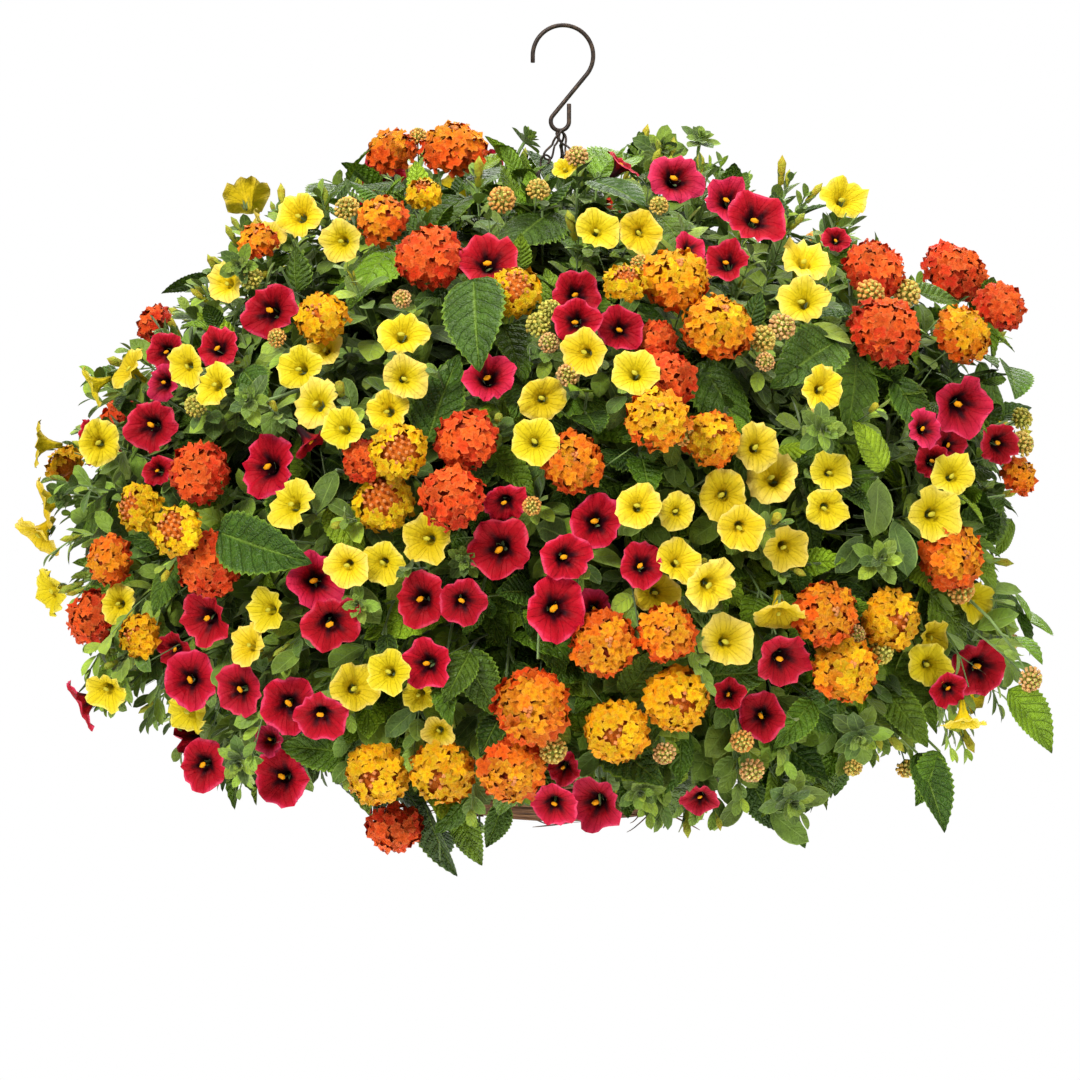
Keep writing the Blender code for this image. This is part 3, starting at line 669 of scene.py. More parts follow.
@dataclass(frozen=True)
class BladeForm:
    """The form of a leaf of length 1, with Y to its tip and Z out of its upper face.

    Attributes:
        rows: Steps along the blade.
        columns: Steps across it.
        half_width: Its half width.
        swell: How early it is broadest: a small number for a round foot.
        taper: How slowly it ends: a large number for a drawn-out tip.
        tooth: Depth of the teeth of its edge.
        arch: How far the tip hangs.
        fold: How far the sides rise.
        curl: How far the edges turn down again.
        twist: How far the tip is turned, in radians.
        puckers: Depth of the puckers between the side veins.
    """

    rows: int
    columns: int
    half_width: float
    swell: float
    taper: float
    tooth: float = 0.0
    arch: float = 0.16
    fold: float = 0.25
    curl: float = 0.0
    twist: float = 0.0
    puckers: float = 0.0

    def width(self, along: float) -> float:
        """Half the blade's width at a share of its length.

        Args:
            along: The share.

        Returns:
            The half width.
        """
        peak = self.swell / (self.swell + self.taper)
        most = peak**self.swell * (1 - peak) ** self.taper
        return self.half_width * max(along, 0.0) ** self.swell * max(1 - along, 0.0) ** self.taper / most

    def build(self) -> Shape:
        """Makes the blade from a grid."""
        mesh = blank()
        where = mesh.verts.layers.float_vector[WHERE]
        bmesh.ops.create_grid(mesh, x_segments=self.columns, y_segments=self.rows, size=1)
        for vert in mesh.verts:
            across, along = vert.co.x, (vert.co.y + 1) / 2
            vert[where] = (across, along, 0)
            vert.co = self.point(across, along)
        bmesh.ops.remove_doubles(mesh, verts=mesh.verts, dist=1e-5)
        return Shape(mesh)

    def point(self, across: float, along: float) -> Vector:
        """Where a point of the flat grid comes to lie on the blade.

        Args:
            across: Its place across the blade, from -1 to 1.
            along: Its place from the foot, 0, to the tip, 1.

        Returns:
            The point.
        """
        out = abs(across)
        row = round(along * self.rows)
        width = self.width(along)
        point = Vector((0, along, 0))
        if out > 0.99 and 0 < row < self.rows:
            width *= 1 + (self.tooth if row % 2 else -self.tooth)
            point.y += self.tooth * (0.14 if row % 2 else -0.05)
        side = across * width
        lift = self.fold * abs(side) - self.curl * side * side / self.half_width
        pucker = abs(math.sin(math.pi * (along * LANTANA_BLADE.pairs - out * LANTANA_BLADE.slant)))
        lift += self.puckers * pucker * out * (1 - out) * 4
        turn = self.twist * along * along
        point.x = side * math.cos(turn) - lift * math.sin(turn)
        point.z = side * math.sin(turn) + lift * math.cos(turn) - self.arch * along * along
        return point


# A floret's rim at the middle of a lobe, beside it and between two lobes
FLORET_REACH = (1.0, 1.04, 0.62)
FLORET_RISE = (0.22, -0.1, -0.08)
FLORET_CRUMPLE = 0.17


def floret_shape(draw: random.Random) -> Shape:
    """A floret of radius 1: four broad crinkled lobes round a sunk eye.

    Args:
        draw: Where its chance differences come from.

    Returns:
        The floret.
    """
    shape = blank()
    where = shape.verts.layers.float_vector[WHERE]
    bmesh.ops.create_circle(shape, cap_ends=True, cap_tris=True, segments=8, radius=0.34)
    rim = [edge for edge in shape.edges if edge.is_boundary]
    grown = bmesh.ops.extrude_edge_only(shape, edges=rim)["geom"]
    outer = only(Vert, grown)
    edge = [item for item in only(Edge, grown) if item.is_boundary]
    bmesh.ops.scale(shape, verts=outer, vec=(2.6, 2.6, 1))
    bmesh.ops.subdivide_edges(shape, edges=edge, cuts=1)
    for vert in shape.verts:
        reach = vert.co.length
        angle = math.degrees(math.atan2(vert.co.y, vert.co.x)) % 90
        from_lobe = min(angle, 90 - angle)
        if reach < 0.1:
            vert.co.z = -0.18
            vert[where] = (0, 0, 0)
        elif reach < 0.5:
            vert.co.z = draw.uniform(-0.04, 0.08)
            vert[where] = (0.38, 0, 0)
        else:
            kind = 0 if from_lobe < 10 else 1 if from_lobe < 35 else 2
            vert.co *= (FLORET_REACH[kind] + draw.uniform(-0.1, 0.1)) / reach
            vert.co.z = FLORET_RISE[kind] + draw.uniform(-FLORET_CRUMPLE, FLORET_CRUMPLE)
            vert[where] = (1, 0, 0)
    return Shape(shape)


def tube_shape() -> Shape:
    """A floret's tube: a thin cone of length 1 that starts at the eye and runs down."""
    shape = blank()
    made = bmesh.ops.create_cone(shape, segments=4, radius1=0.1, radius2=0.2, depth=1, cap_ends=False)
    bmesh.ops.translate(shape, verts=made["verts"], vec=(0, 0, -0.55))
    return Shape(shape, (0.6, 0, 0))


def bud_shape() -> Shape:
    """A square bud of width 1 with its four folded lobes."""
    shape = blank()
    bmesh.ops.create_cone(shape, segments=4, radius1=0.3, radius2=0.62, depth=1.1, cap_ends=True)
    top = max(shape.faces, key=lambda face: face.calc_center_median().z)
    bmesh.ops.poke(shape, faces=[top], offset=0.22)
    return Shape(shape, (1, 0, 0))


def spindle_shape() -> Shape:
    """A bell's bud, rolled up, of length 1 and with its foot at the origin."""
    shape = blank()
    bmesh.ops.create_cone(shape, segments=7, radius1=0.1, radius2=0.15, depth=0.72, cap_ends=True)
    bmesh.ops.translate(shape, verts=shape.verts, vec=(0, 0, 0.36))
    for side, offset in ((max, 0.28), (min, 0.06)):
        cap = side(shape.faces, key=lambda face: face.calc_center_median().z)
        bmesh.ops.poke(shape, faces=[cap], offset=offset)
    return Shape(shape, (0.7, 0.5, 0))


def ball_shape(subdivisions: int, lumps: float = 0.0) -> Shape:
    """A ball of radius 1 with soft lumps of some height.

    Args:
        subdivisions: How fine it is.
        lumps: How high its lumps are.

    Returns:
        The ball.
    """
    shape = blank()
    bmesh.ops.create_icosphere(shape, subdivisions=subdivisions, radius=1)
    for vert in shape.verts:
        vert.co *= 1 + lumps * noise.noise(vert.co * 4)
    return Shape(shape, (0.8, 0, 0))


@dataclass(frozen=True)
class BellForm:
    """The form of a calibrachoa bloom of radius 1, with Z out of its mouth.

    Attributes:
        lobe_depth: How far the edge draws in between two lobes.
        ruffle: How far the edge waves up and down.
        flare: How flat the mouth opens: 0 for a funnel and 1 for a plate.
        droop: How far the edge turns back.
        pinch: How much narrower the bloom is one way than the other.
        flutter: How far the edge waves up and down in small waves.
        scallop: How far the edge waves in and out in small waves.
    """

    lobe_depth: float = 0.12
    ruffle: float = 0.05
    flare: float = 0.6
    droop: float = 0.05
    pinch: float = 0.0
    flutter: float = 0.05
    scallop: float = 0.028

    SEGMENTS = 30
    LOBES = 5
    LOBE_SIZES = (0.88, 1.06)
    FLUTTERS = 11
    SCALLOPS = 13
    # Out from the axis and down from the mouth, from the edge to the foot of the tube
    FUNNEL = ((1.0, 0.0), (0.84, 0.04), (0.62, 0.13), (0.42, 0.26), (0.26, 0.44), (0.17, 0.64), (0.11, 0.95))
    FOOT = 1.12

    def build(self, draw: random.Random) -> Shape:
        """Makes the bloom from its edge inwards, with the anthers in its throat.

        Args:
            draw: Where its chance differences come from.

        Returns:
            The bloom.
        """
        mesh = blank()
        where = mesh.verts.layers.float_vector[WHERE]
        ring = bmesh.ops.create_circle(mesh, segments=self.SEGMENTS, radius=1)["verts"]
        phase = draw.uniform(0, math.tau)
        lobes = [draw.uniform(*self.LOBE_SIZES) for _ in range(self.LOBES)]
        edges = list(mesh.edges)
        rings = [(ring, *self.FUNNEL[0])]
        for out, down in self.FUNNEL[1:]:
            grown = bmesh.ops.extrude_edge_only(mesh, edges=edges)["geom"]
            ring = only(Vert, grown)
            edges = [edge for edge in only(Edge, grown) if all(vert in ring for vert in edge.verts)]
            bmesh.ops.scale(mesh, verts=ring, vec=(out / rings[-1][1],) * 2 + (1,))
            rings.append((ring, out, down))
        for ring, out, down in rings:
            for vert in ring:
                angle = math.atan2(vert.co.y, vert.co.x)
                from_lobe = self._from_lobe(angle)
                vert.co = self._point(angle, out, down, phase, lobes)
                vert[where] = (out, from_lobe, 0)
        foot = only(Vert, bmesh.ops.extrude_edge_only(mesh, edges=edges)["geom"])
        bmesh.ops.pointmerge(mesh, verts=foot, merge_co=(0, 0, -self.FOOT))
        bmesh.ops.recalc_face_normals(mesh, faces=mesh.faces)
        before = set(mesh.verts)
        spot = Matrix.Translation((draw.uniform(-0.04, 0.04), draw.uniform(0.0, 0.07), -0.26))
        tilt = Matrix.Rotation(draw.uniform(-0.7, 0.7), 4, "Z") @ Matrix.Diagonal((0.1, 0.16, 0.06, 1))
        bmesh.ops.create_icosphere(mesh, subdivisions=1, radius=1, matrix=spot @ tilt)
        for vert in set(mesh.verts) - before:
            vert[where] = (-1, 0.5, 0)
        return Shape(mesh)

    def _from_lobe(self, angle: float) -> float:
        """How far an angle is from the middle of a lobe: 0 there and 1 between two lobes."""
        beat = (angle * self.LOBES / math.tau) % 1.0
        return min(beat, 1 - beat) * 2

    def _point(self, angle: float, out: float, down: float, phase: float, lobes: Sequence[float]) -> Vector:
        """Where a point of a ring comes to lie.

        Args:
            angle: Its angle in the mouth.
            out: The ring's radius.
            down: How far the ring lies below the mouth.
            phase: The angle at which the waves start.
            lobes: How large each lobe is.

        Returns:
            The point.
        """
        edge = out**2
        from_lobe = self._from_lobe(angle)
        near, share = divmod(angle * self.LOBES / math.tau + 0.5, 1)
        size = lobes[int(near) % self.LOBES]
        size += (1 - size) * abs(share - 0.5) * 2
        reach = out * (1 + (size - 1) * edge) * (1 - self.lobe_depth * edge * from_lobe**2.4)
        wide = 1 + self.pinch * edge * math.cos(2 * (angle - phase))
        waves = math.cos(angle * self.LOBES * 2 + phase) + 0.8 * math.sin(angle * 3 + phase)
        height = -down * (1.25 - 0.5 * self.flare) - self.droop * edge * edge
        height += self.ruffle * edge * waves
        height += 0.1 * math.sin(math.pi * out) * (0.5 - from_lobe)
        height -= 0.07 * edge * from_lobe**3
        height += self.flutter * edge * edge * math.sin(angle * self.FLUTTERS + phase * 3)
        reach += self.scallop * edge * edge * math.sin(angle * self.SCALLOPS + phase * 5)
        return Vector((math.cos(angle) * reach * wide, math.sin(angle) * reach * wide, height))


BELLS = (
    BellForm(0.17, 0.08, 0.6, 0.08),
    BellForm(0.22, 0.12, 0.45, 0.12, 0.06),
    BellForm(0.15, 0.1, 0.75, 0.04, -0.06),
    BellForm(0.2, 0.14, 0.25, 0.2, 0.1),
    BellForm(0.28, 0.1, 0.5, -0.04, 0.0),
    BellForm(0.18, 0.15, 0.5, 0.16, -0.1),
)
FUNNEL = BellForm(0.12, 0.05, 0.0, 0.16)
BIG_BLADES = (
    BladeForm(28, 8, 0.29, 0.52, 0.95, 0.05, fold=0.36, puckers=0.011, curl=0.25),
    BladeForm(28, 8, 0.27, 0.55, 0.95, 0.05, arch=0.18, fold=0.44, twist=0.25, puckers=0.011),
    BladeForm(28, 8, 0.3, 0.5, 1.0, 0.05, arch=0.14, fold=0.28, twist=-0.2, puckers=0.011, curl=0.5),
)
SMALL_BLADES = (
    BladeForm(14, 4, 0.3, 0.5, 0.95, 0.06, arch=0.2, fold=0.3, puckers=0.011),
    BladeForm(14, 4, 0.32, 0.5, 1.0, 0.06, arch=0.12, fold=0.2, twist=0.4, puckers=0.011),
    BladeForm(14, 4, 0.28, 0.55, 0.95, 0.06, arch=0.28, fold=0.4, twist=-0.35, puckers=0.011),
    BladeForm(14, 4, 0.31, 0.5, 0.9, 0.06, arch=0.34, fold=0.15, curl=0.8, puckers=0.011),
)
LEAFLETS = (
    BladeForm(7, 2, 0.26, 0.8, 0.62, arch=0.12, fold=0.3),
    BladeForm(7, 2, 0.3, 0.85, 0.6, arch=0.28, fold=0.2, twist=0.3),
    BladeForm(7, 2, 0.24, 0.8, 0.7, arch=-0.05, fold=0.45, twist=-0.2),
)
SEPAL = BladeForm(3, 2, 0.11, 0.5, 0.7, arch=-0.1, fold=0.5)


class Plant(Enum):
    """The two plants of the basket."""

    LANTANA = "lantana"
    CALIBRACHOA = "calibrachoa"


class Stock:
    """The shapes that the plants are made of, each in a few kinds."""

    FLORETS = 5

    def __init__(self) -> None:
        """Makes every shape."""
        draw = random.Random(SEED)
        self.floret = [floret_shape(draw) for _ in range(self.FLORETS)]
        self.tube = tube_shape()
        self.bud = bud_shape()
        self.spindle = spindle_shape()
        self.core = ball_shape(2, 0.16)
        self.bell = [form.build(draw) for form in BELLS]
        self.funnel = FUNNEL.build(draw)
        self.big_blade = [form.build() for form in BIG_BLADES]
        self.leaves = {
            Plant.LANTANA: [form.build() for form in SMALL_BLADES],
            Plant.CALIBRACHOA: [form.build() for form in LEAFLETS],
        }
        self.sepal = SEPAL.build()


# What the frame holds


@dataclass(frozen=True)
class Spot:
    """Where one bloom, blade or shoot tip of the frame grows.

    Attributes:
        place: Its own frame, with Z out of its face, and Y to the tip of a blade.
        size: Radius of a bloom or shoot tip, or length of a blade.
    """

    place: Matrix
    size: float

    @property
    def middle(self) -> Vector:
        """Where it starts or has its middle."""
        return self.place.translation

    @property
    def out(self) -> Vector:
        """The way out of its face."""
        return self.place.to_3x3().col[2]

    @property
    def along(self) -> Vector:
        """The way to the tip of a blade."""
        return self.place.to_3x3().col[1]

    def moved(self, step: Vector, scale: float) -> "Spot":
        """The same spot moved by a step, with its size scaled."""
        return Spot(Matrix.Translation(step) @ self.place, self.size * scale)

    def foot(self, behind: float) -> tuple[Vector, Vector]:
        """Where the stalk meets a bloom, so many radii behind its face, and the way in which it comes."""
        return self.middle - self.out * self.size * behind, self.out


class FrameNode:
    """One node of the frame, read for what grows on it."""

    HEAD_CORNERS = 12
    HEAD_WIDEST = 0.982
    BELL_CORNERS = 10
    BELL_REACH = 0.022
    BLADE_CORNERS = 13
    TIP_CORNERS = 16
    ARCH = 0.16
    LEAST_REACH = 0.006

    def __init__(self, name: str) -> None:
        """Copies the node's mesh and closes its seams."""
        self.name = name
        self.mesh = bmesh.new()
        self.mesh.from_mesh(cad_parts[name].data)
        bmesh.ops.remove_doubles(self.mesh, verts=self.mesh.verts, dist=MERGE)
        self._read: set[Vert] = set()

    def _hubs(self, count: int, rank: int = 2) -> list[tuple[Vert, list[Vert]]]:
        """The points that are joined to so many others at a distance, with those others.

        Args:
            count: How many others.
            rank: Which of them, from the nearest out, has to stand off.

        Returns:
            The points, each with the others.
        """
        found = []
        for vert in self.mesh.verts:
            if len(vert.link_edges) != count:
                continue
            others = [edge.other_vert(vert) for edge in vert.link_edges]
            reaches = sorted((other.co - vert.co).length for other in others)
            if reaches[rank] > self.LEAST_REACH:
                found.append((vert, others))
        return found

    def heads(self) -> list[Spot]:
        """The lantana heads.

        Returns:
            Where they grow.
        """
        spikes = {vert: None for vert in self.mesh.verts if len(vert.link_edges) == 3}
        spots = []
        while spikes:
            waiting = [spikes.popitem()[0]]
            group: dict[Vert, None] = {}
            corners: dict[Vert, None] = {}
            while waiting:
                spike = waiting.pop()
                group[spike] = None
                for corner in (edge.other_vert(spike) for edge in spike.link_edges):
                    corners[corner] = None
                    near = [edge.other_vert(corner) for edge in corner.link_edges]
                    near = [vert for vert in near if vert in spikes]
                    for vert in near:
                        del spikes[vert]
                    waiting += near
            corners = {corner: None for corner in corners if corner not in group}
            if len(corners) != self.HEAD_CORNERS:
                continue
            middle = mean(corners)
            out = (mean(group) - middle).normalized()
            reach = max((vert.co - middle).cross(out).length for vert in corners)
            spots.append(Spot(faced(middle, out, 1.0), reach / self.HEAD_WIDEST))
            self._read |= {*group, *corners}
        return spots

    def bells(self) -> list[Spot]:
        """The calibrachoa blooms.

        Returns:
            Where they grow.
        """
        spots = []
        for throat, others in self._hubs(self.BELL_CORNERS):
            middle = mean(others)
            lobes = sorted(others, key=lambda vert: (vert.co - middle).length)[len(others) // 2:]
            middle = mean(lobes)
            reaches = sorted((vert.co - middle).length for vert in lobes)
            if reaches[-1] > self.BELL_REACH or reaches[-1] > reaches[0] * 1.1:
                continue
            out = (middle - throat.co).normalized()
            first = max(lobes, key=lambda vert: vert.co.z).co - middle
            place = aimed(middle, out.cross(first), out)
            spots.append(Spot(place, first.length))
            self._read |= {throat, *others}
        return spots

    def tips(self) -> list[Spot]:
        """The calibrachoa shoot tips.

        Returns:
            Where they are.
        """
        spots = []
        for hub, others in self._hubs(self.TIP_CORNERS, -1):
            size = max((vert.co - hub.co).length for vert in others)
            spots.append(Spot(faced(hub.co.copy(), mean(others) - hub.co, 1.0), size))
            self._read |= {hub, *others}
        return spots

    def blades(self) -> list[Spot]:
        """The large lantana leaves.

        Returns:
            Where they grow.
        """
        spots = []
        for rib, others in self._hubs(self.BLADE_CORNERS):
            after = {}
            for face in rib.link_faces:
                pair = [vert for vert in face.verts if vert is not rib]
                for one, other in (pair, reversed(pair)):
                    after.setdefault(one, []).append(other)
            ring, last = [others[0]], None
            while len(ring) < len(others):
                ahead = [vert for vert in after[ring[-1]] if vert is not last]
                last = ring[-1]
                ring.append(ahead[0])
            pairs = [(ring[i - 1], ring[i]) for i in range(len(ring))]
            start = min(range(len(ring)), key=lambda i: (pairs[i][0].co - pairs[i][1].co).length)
            left, right = pairs[start]
            tip = ring[(start + len(ring) // 2) % len(ring)]
            foot = (left.co + right.co) / 2
            face = sum((each.normal for each in rib.link_faces), Vector())
            side = (tip.co - foot).cross(face)
            side = (right.co - left.co).normalized() * math.copysign(1, side.dot(right.co - left.co))
            chord = tip.co - foot
            along = Matrix.Rotation(math.atan(self.ARCH), 3, side) @ chord
            place = aimed(foot, along, side.cross(along))
            spots.append(Spot(place, chord.length / math.hypot(1, self.ARCH)))
            under = {vert for vert in self.mesh.verts if len(vert.link_edges) == self.BLADE_CORNERS + 1}
            under = {vert for vert in under if (vert.co - rib.co).length < self.LEAST_REACH}
            self._read |= ({rib, *others} | under) - {left, right}
        return spots

    def stems(self) -> bmesh.types.BMesh:
        """What is left of the node once its blooms and blades are read: stems and stalks.

        Returns:
            The mesh.
        """
        read = [vert for vert in self.mesh.verts if vert in self._read]
        bmesh.ops.delete(self.mesh, geom=read, context="VERTS")
        rims = [edge for edge in self.mesh.edges if edge.is_boundary]
        bmesh.ops.holes_fill(self.mesh, edges=rims, sides=8)
        return self.mesh


class PlantNodes:
    """The frame's nodes of the two plants."""

    def __init__(self) -> None:
        """Reads them."""
        names = [name for name in sorted(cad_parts) if name.startswith(("lantana", "calibrachoa"))]
        self.nodes = {name: FrameNode(name) for name in names}

    def named(self, start: str) -> dict[str, FrameNode]:
        """The nodes whose names start in some way."""
        return {name: node for name, node in self.nodes.items() if name.startswith(start)}

    def stems(self, material: Material) -> None:
        """Shows the stems and stalks of all nodes as one piece, rounded.

        Args:
            material: Their material.
        """
        carried = bmesh.new()
        for node in self.nodes.values():
            rest = bpy.data.meshes.new("rest")
            node.stems().to_mesh(rest)
            carried.from_mesh(rest)
            bpy.data.meshes.remove(rest)
        mesh = bpy.data.meshes.new("main_stems")
        carried.to_mesh(mesh)
        carried.free()
        made = show(mesh, "main_stems", material, "calibrachoa_leaf", list(self.nodes))
        smooth = made.modifiers.new("Rounded", "SUBSURF")
        smooth.levels = smooth.render_levels = 1


# The viewer and the crown


class Sight:
    """The viewer's place, and what it sees where."""

    def __init__(self) -> None:
        """Works out the eye and its target from where the hook is on the plan."""
        rise = (PLAN_MIDDLE - HOOK_ON_PLAN[1]) * PLAN_STEP
        cos, sin = math.cos(EYE_TILT), math.sin(EYE_TILT)
        drop = rise * EYE_DISTANCE / (EYE_DISTANCE * cos + rise * sin)
        nearer = 1 - drop * sin / EYE_DISTANCE
        self.target = Vector(((PLAN_MIDDLE - HOOK_ON_PLAN[0]) * PLAN_STEP * nearer, 0, -drop))
        self.eye = self.target + Vector((0, -cos, sin)) * EYE_DISTANCE
        self.up = Vector((0, sin, cos))

    def ray(self, plan: Sequence[float]) -> Vector:
        """The way from the eye to a place on the plan."""
        aim = self.target + Vector(((plan[0] - PLAN_MIDDLE) * PLAN_STEP, 0, 0))
        return (aim + self.up * (PLAN_MIDDLE - plan[1]) * PLAN_STEP - self.eye).normalized()

    def plan(self, point: Vector) -> tuple[float, float]:
        """The place on the plan where a point is seen.

        Args:
            point: The point.

        Returns:
            Across and down on the plan.
        """
        away = point - self.eye
        depth = away.dot((self.target - self.eye).normalized())
        scale = EYE_DISTANCE / depth / PLAN_STEP
        return PLAN_MIDDLE + away.x * scale, PLAN_MIDDLE - away.dot(self.up) * scale

    def camera(self) -> None:
        """Sets up the camera at the eye."""
        data = bpy.data.cameras.new("viewer")
        data.sensor_width = SENSOR
        data.lens = SENSOR * EYE_DISTANCE / (PLAN_MIDDLE * 2 * PLAN_STEP)
        data.clip_end = FARTHEST
        made = placed("viewer", data)
        made.location = self.eye
        made.rotation_euler = (self.target - self.eye).to_track_quat("-Z", "Y").to_euler()
        bpy.context.scene.camera = made


@dataclass(frozen=True)
class Crown:
    """The outside of the foliage, as a rounded form."""

    centre: Vector = Vector((-0.013, 0.0, -0.278))
    radii: Vector = Vector((0.290, 0.258, 0.212))
    power_above: float = 2.2
    power_below: float = 3.5
    curtain_z: float = -0.369
    curtain_y: float = -0.162

    def outside(self, point: Vector, scale: float = 1.0) -> float:
        """Below 0 inside the crown drawn in by a scale, and above 0 outside it.

        Args:
            point: The point that is asked for.
            scale: How far the crown is drawn in.

        Returns:
            The measure.
        """
        d = (point - self.centre) / scale
        power = self.power_above if d.z > 0 else self.power_below
        flat = (d.x / self.radii.x) ** 2 + (d.y / self.radii.y) ** 2
        return flat + abs(d.z / self.radii.z) ** power - 1

    def outward(self, point: Vector) -> Vector:
        """The way out of the crown at a point.

        Args:
            point: The point.

        Returns:
            The way, of length 1.
        """
        d = point - self.centre
        power = self.power_above if d.z > 0 else self.power_below
        steep = power / 2 * abs(d.z / self.radii.z) ** (power - 2)
        way = Vector((d.x / self.radii.x**2, d.y / self.radii.y**2, steep * d.z / self.radii.z**2))
        return way.normalized()

    def surface(self, way: Vector, scale: float) -> Vector:
        """The point of the crown, drawn in by a scale, in some way from its middle.

        Args:
            way: The way from its middle.
            scale: How far the crown is drawn in.

        Returns:
            The point.
        """
        near, far = 0.0, 1.0
        for _ in range(24):
            middle = (near + far) / 2
            if self.outside(self.centre + way * middle) < 0:
                near = middle
            else:
                far = middle
        return self.centre + way * near * scale

    def seen(self, sight: Sight, plan: Sequence[float], scale: float) -> Vector:
        """The first point of the crown that is seen at a place on the plan.

        Args:
            sight: The viewer.
            plan: The place, across and down.
            scale: How far the crown is drawn in.

        Returns:
            The point.
        """
        ray = sight.ray(plan)
        places = [sight.eye + ray * (2.0 + 0.002 * step) for step in range(400)]
        values = [self.outside(place, scale) for place in places]
        inside = [i for i, value in enumerate(values) if value < 0]
        point = places[inside[0] if inside else values.index(min(values))]
        if point.z < self.curtain_z and point.y > self.curtain_y:
            point = sight.eye + ray * ((self.curtain_y - sight.eye.y) / ray.y)
        return point


def within(plan: Sequence[float], outline: Sequence[Sequence[float]]) -> bool:
    """True if a place on the plan lies inside a closed outline.

    Args:
        plan: The place, across and down.
        outline: The corners of the outline; what follows their places is left out.

    Returns:
        True if it lies inside.
    """
    across, down = plan
    inside = False
    for (x0, y0, *_), (x1, y1, *_) in zip(outline, [*outline[1:], outline[0]]):
        if (y0 > down) != (y1 > down) and across < x0 + (x1 - x0) * (down - y0) / (y1 - y0):
            inside = not inside
    return inside


class Clearance:
    """The room that blooms keep free before their faces."""

    def __init__(self) -> None:
        """Starts with nothing to keep clear of."""
        self._balls: list[tuple[Vector, float]] = []
        self._tree: kdtree.KDTree | None = None

    def keep(self, middle: Vector, radius: float) -> None:
        """Keeps a ball free."""
        self._balls.append((middle, radius))
        self._tree = None

    def free(self, points: Iterable[Vector], spare: float = 0.0) -> bool:
        """True if no point lies in a ball that is kept free.

        Args:
            points: The points.
            spare: How far from the balls they have to be.

        Returns:
            True if they are free.
        """
        if self._tree is None:
            self._tree = kdtree.KDTree(len(self._balls))
            for index, (middle, _) in enumerate(self._balls):
                self._tree.insert(middle, index)
            self._tree.balance()
        for point in points:
            for _, index, distance in self._tree.find_n(point, 8):
                if distance < self._balls[index][1] + spare:
                    return False
        return True


@dataclass
class Planting:
    """What blooms and leaves are set with: their shapes, the viewer, the crown, and the room kept free."""

    stock: Stock
    sight: Sight
    crown: Crown
    clearance: Clearance


# Lines: wire, cane and stems


def bezier(a: Vector, b: Vector, c: Vector, d: Vector, steps: int) -> Line:
    """Points of a curve from a to d that leaves towards b and arrives from c.

    Args:
        a: Where it starts.
        b: Where it leaves for.
        c: Where it comes from in the end.
        d: Where it ends.
        steps: How many steps it has.

    Returns:
        The points.
    """
    points = []
    for step in range(steps + 1):
        t = step / steps
        s = 1 - t
        points.append(a * s**3 + b * 3 * s * s * t + c * 3 * s * t * t + d * t**3)
    return points


def arc(centre: Vector, radius: float, start: float, end: float, steps: int) -> Line:
    """Points of an arc in the XZ plane, between two angles in degrees from +X."""
    angles = [math.radians(start + (end - start) * i / steps) for i in range(steps + 1)]
    return [centre + Vector((math.cos(a), 0, math.sin(a))) * radius for a in angles]


def from_end(line: Line, distance: float) -> tuple[Vector, Vector]:
    """The point of a line at a distance from its end, and the line's way there.

    Args:
        line: The line.
        distance: The distance from its end.

    Returns:
        The point and the way.
    """
    for i in range(len(line) - 1, 0, -1):
        step = line[i] - line[i - 1]
        if distance <= step.length:
            return line[i] - step.normalized() * distance, step.normalized()
        distance -= step.length
    return line[0].copy(), (line[1] - line[0]).normalized()


class Lines:
    """A piece made of round lines: wire, cane or stems."""

    def __init__(self, name: str, fineness: int) -> None:
        """Starts the piece.

        Args:
            name: The piece's name.
            fineness: How round the lines are: 0 for four sides, and two more for each step.
        """
        self.name = name
        self.curve = bpy.data.curves.new(name, "CURVE")
        self.curve.dimensions = "3D"
        self.curve.bevel_depth = 1.0
        self.curve.bevel_resolution = fineness
        self.curve.use_fill_caps = True

    def add(self, line: Line, radii: float | Sequence[float], closed: bool = False) -> None:
        """Adds a line.

        Args:
            line: Its points.
            radii: Its radius, or one for each point.
            closed: True if its end meets its start.
        """
        spline = self.curve.splines.new("POLY")
        spline.points.add(len(line) - 1)
        if isinstance(radii, (int, float)):
            radii = [radii] * len(line)
        spline.points.foreach_set("co", [c for point in line for c in (*point, 1.0)])
        spline.points.foreach_set("radius", list(radii))
        spline.use_cyclic_u = closed

    def mesh(self) -> Mesh:
        """Turns the lines into a mesh."""
        carrier = placed(self.name, self.curve)
        bpy.context.view_layer.update()
        graph = bpy.context.evaluated_depsgraph_get()
        made = bpy.data.meshes.new_from_object(carrier.evaluated_get(graph))
        bpy.data.objects.remove(carrier)
        made.name = self.name
        return made


@dataclass
class Hook:
    """The S-shaped hook that the basket hangs by."""

    wire: float = 0.0013
    bow: float = 0.0179
    eye: float = 0.0054
    eye_place: Vector = Vector((-0.0018, 0, -0.0553))
    tip: float = 0.0036
    tail: float = 0.0105

    def build(self, material: Material) -> None:
        """Bends the wire and rounds its two ends.

        Args:
            material: Its finish.
        """
        bow = Vector((0, 0, self.wire - self.bow))
        line = [bow + Vector((-self.bow, 0, -self.tip - self.wire * share)) for share in (0.5, 0.4, 0.0)]
        line += arc(bow, self.bow, 180, -36, 60)
        line += arc(self.eye_place, self.eye, 146, 360, 36)
        end = self.eye_place + Vector((self.eye, 0, self.tail))
        line += [end - Vector((0, 0, self.wire * share)) for share in (0.5, 0.1, 0.0)]
        radii = [self.wire] * len(line)
        radii[0] = radii[-1] = self.wire * 0.55
        radii[1] = radii[-2] = self.wire * 0.9
        lines = Lines("hanging_hook", 6)
        lines.add(line, radii)
        show(lines.mesh(), "hanging_hook", material, "dark_bronze_wire", ["s_hook"])


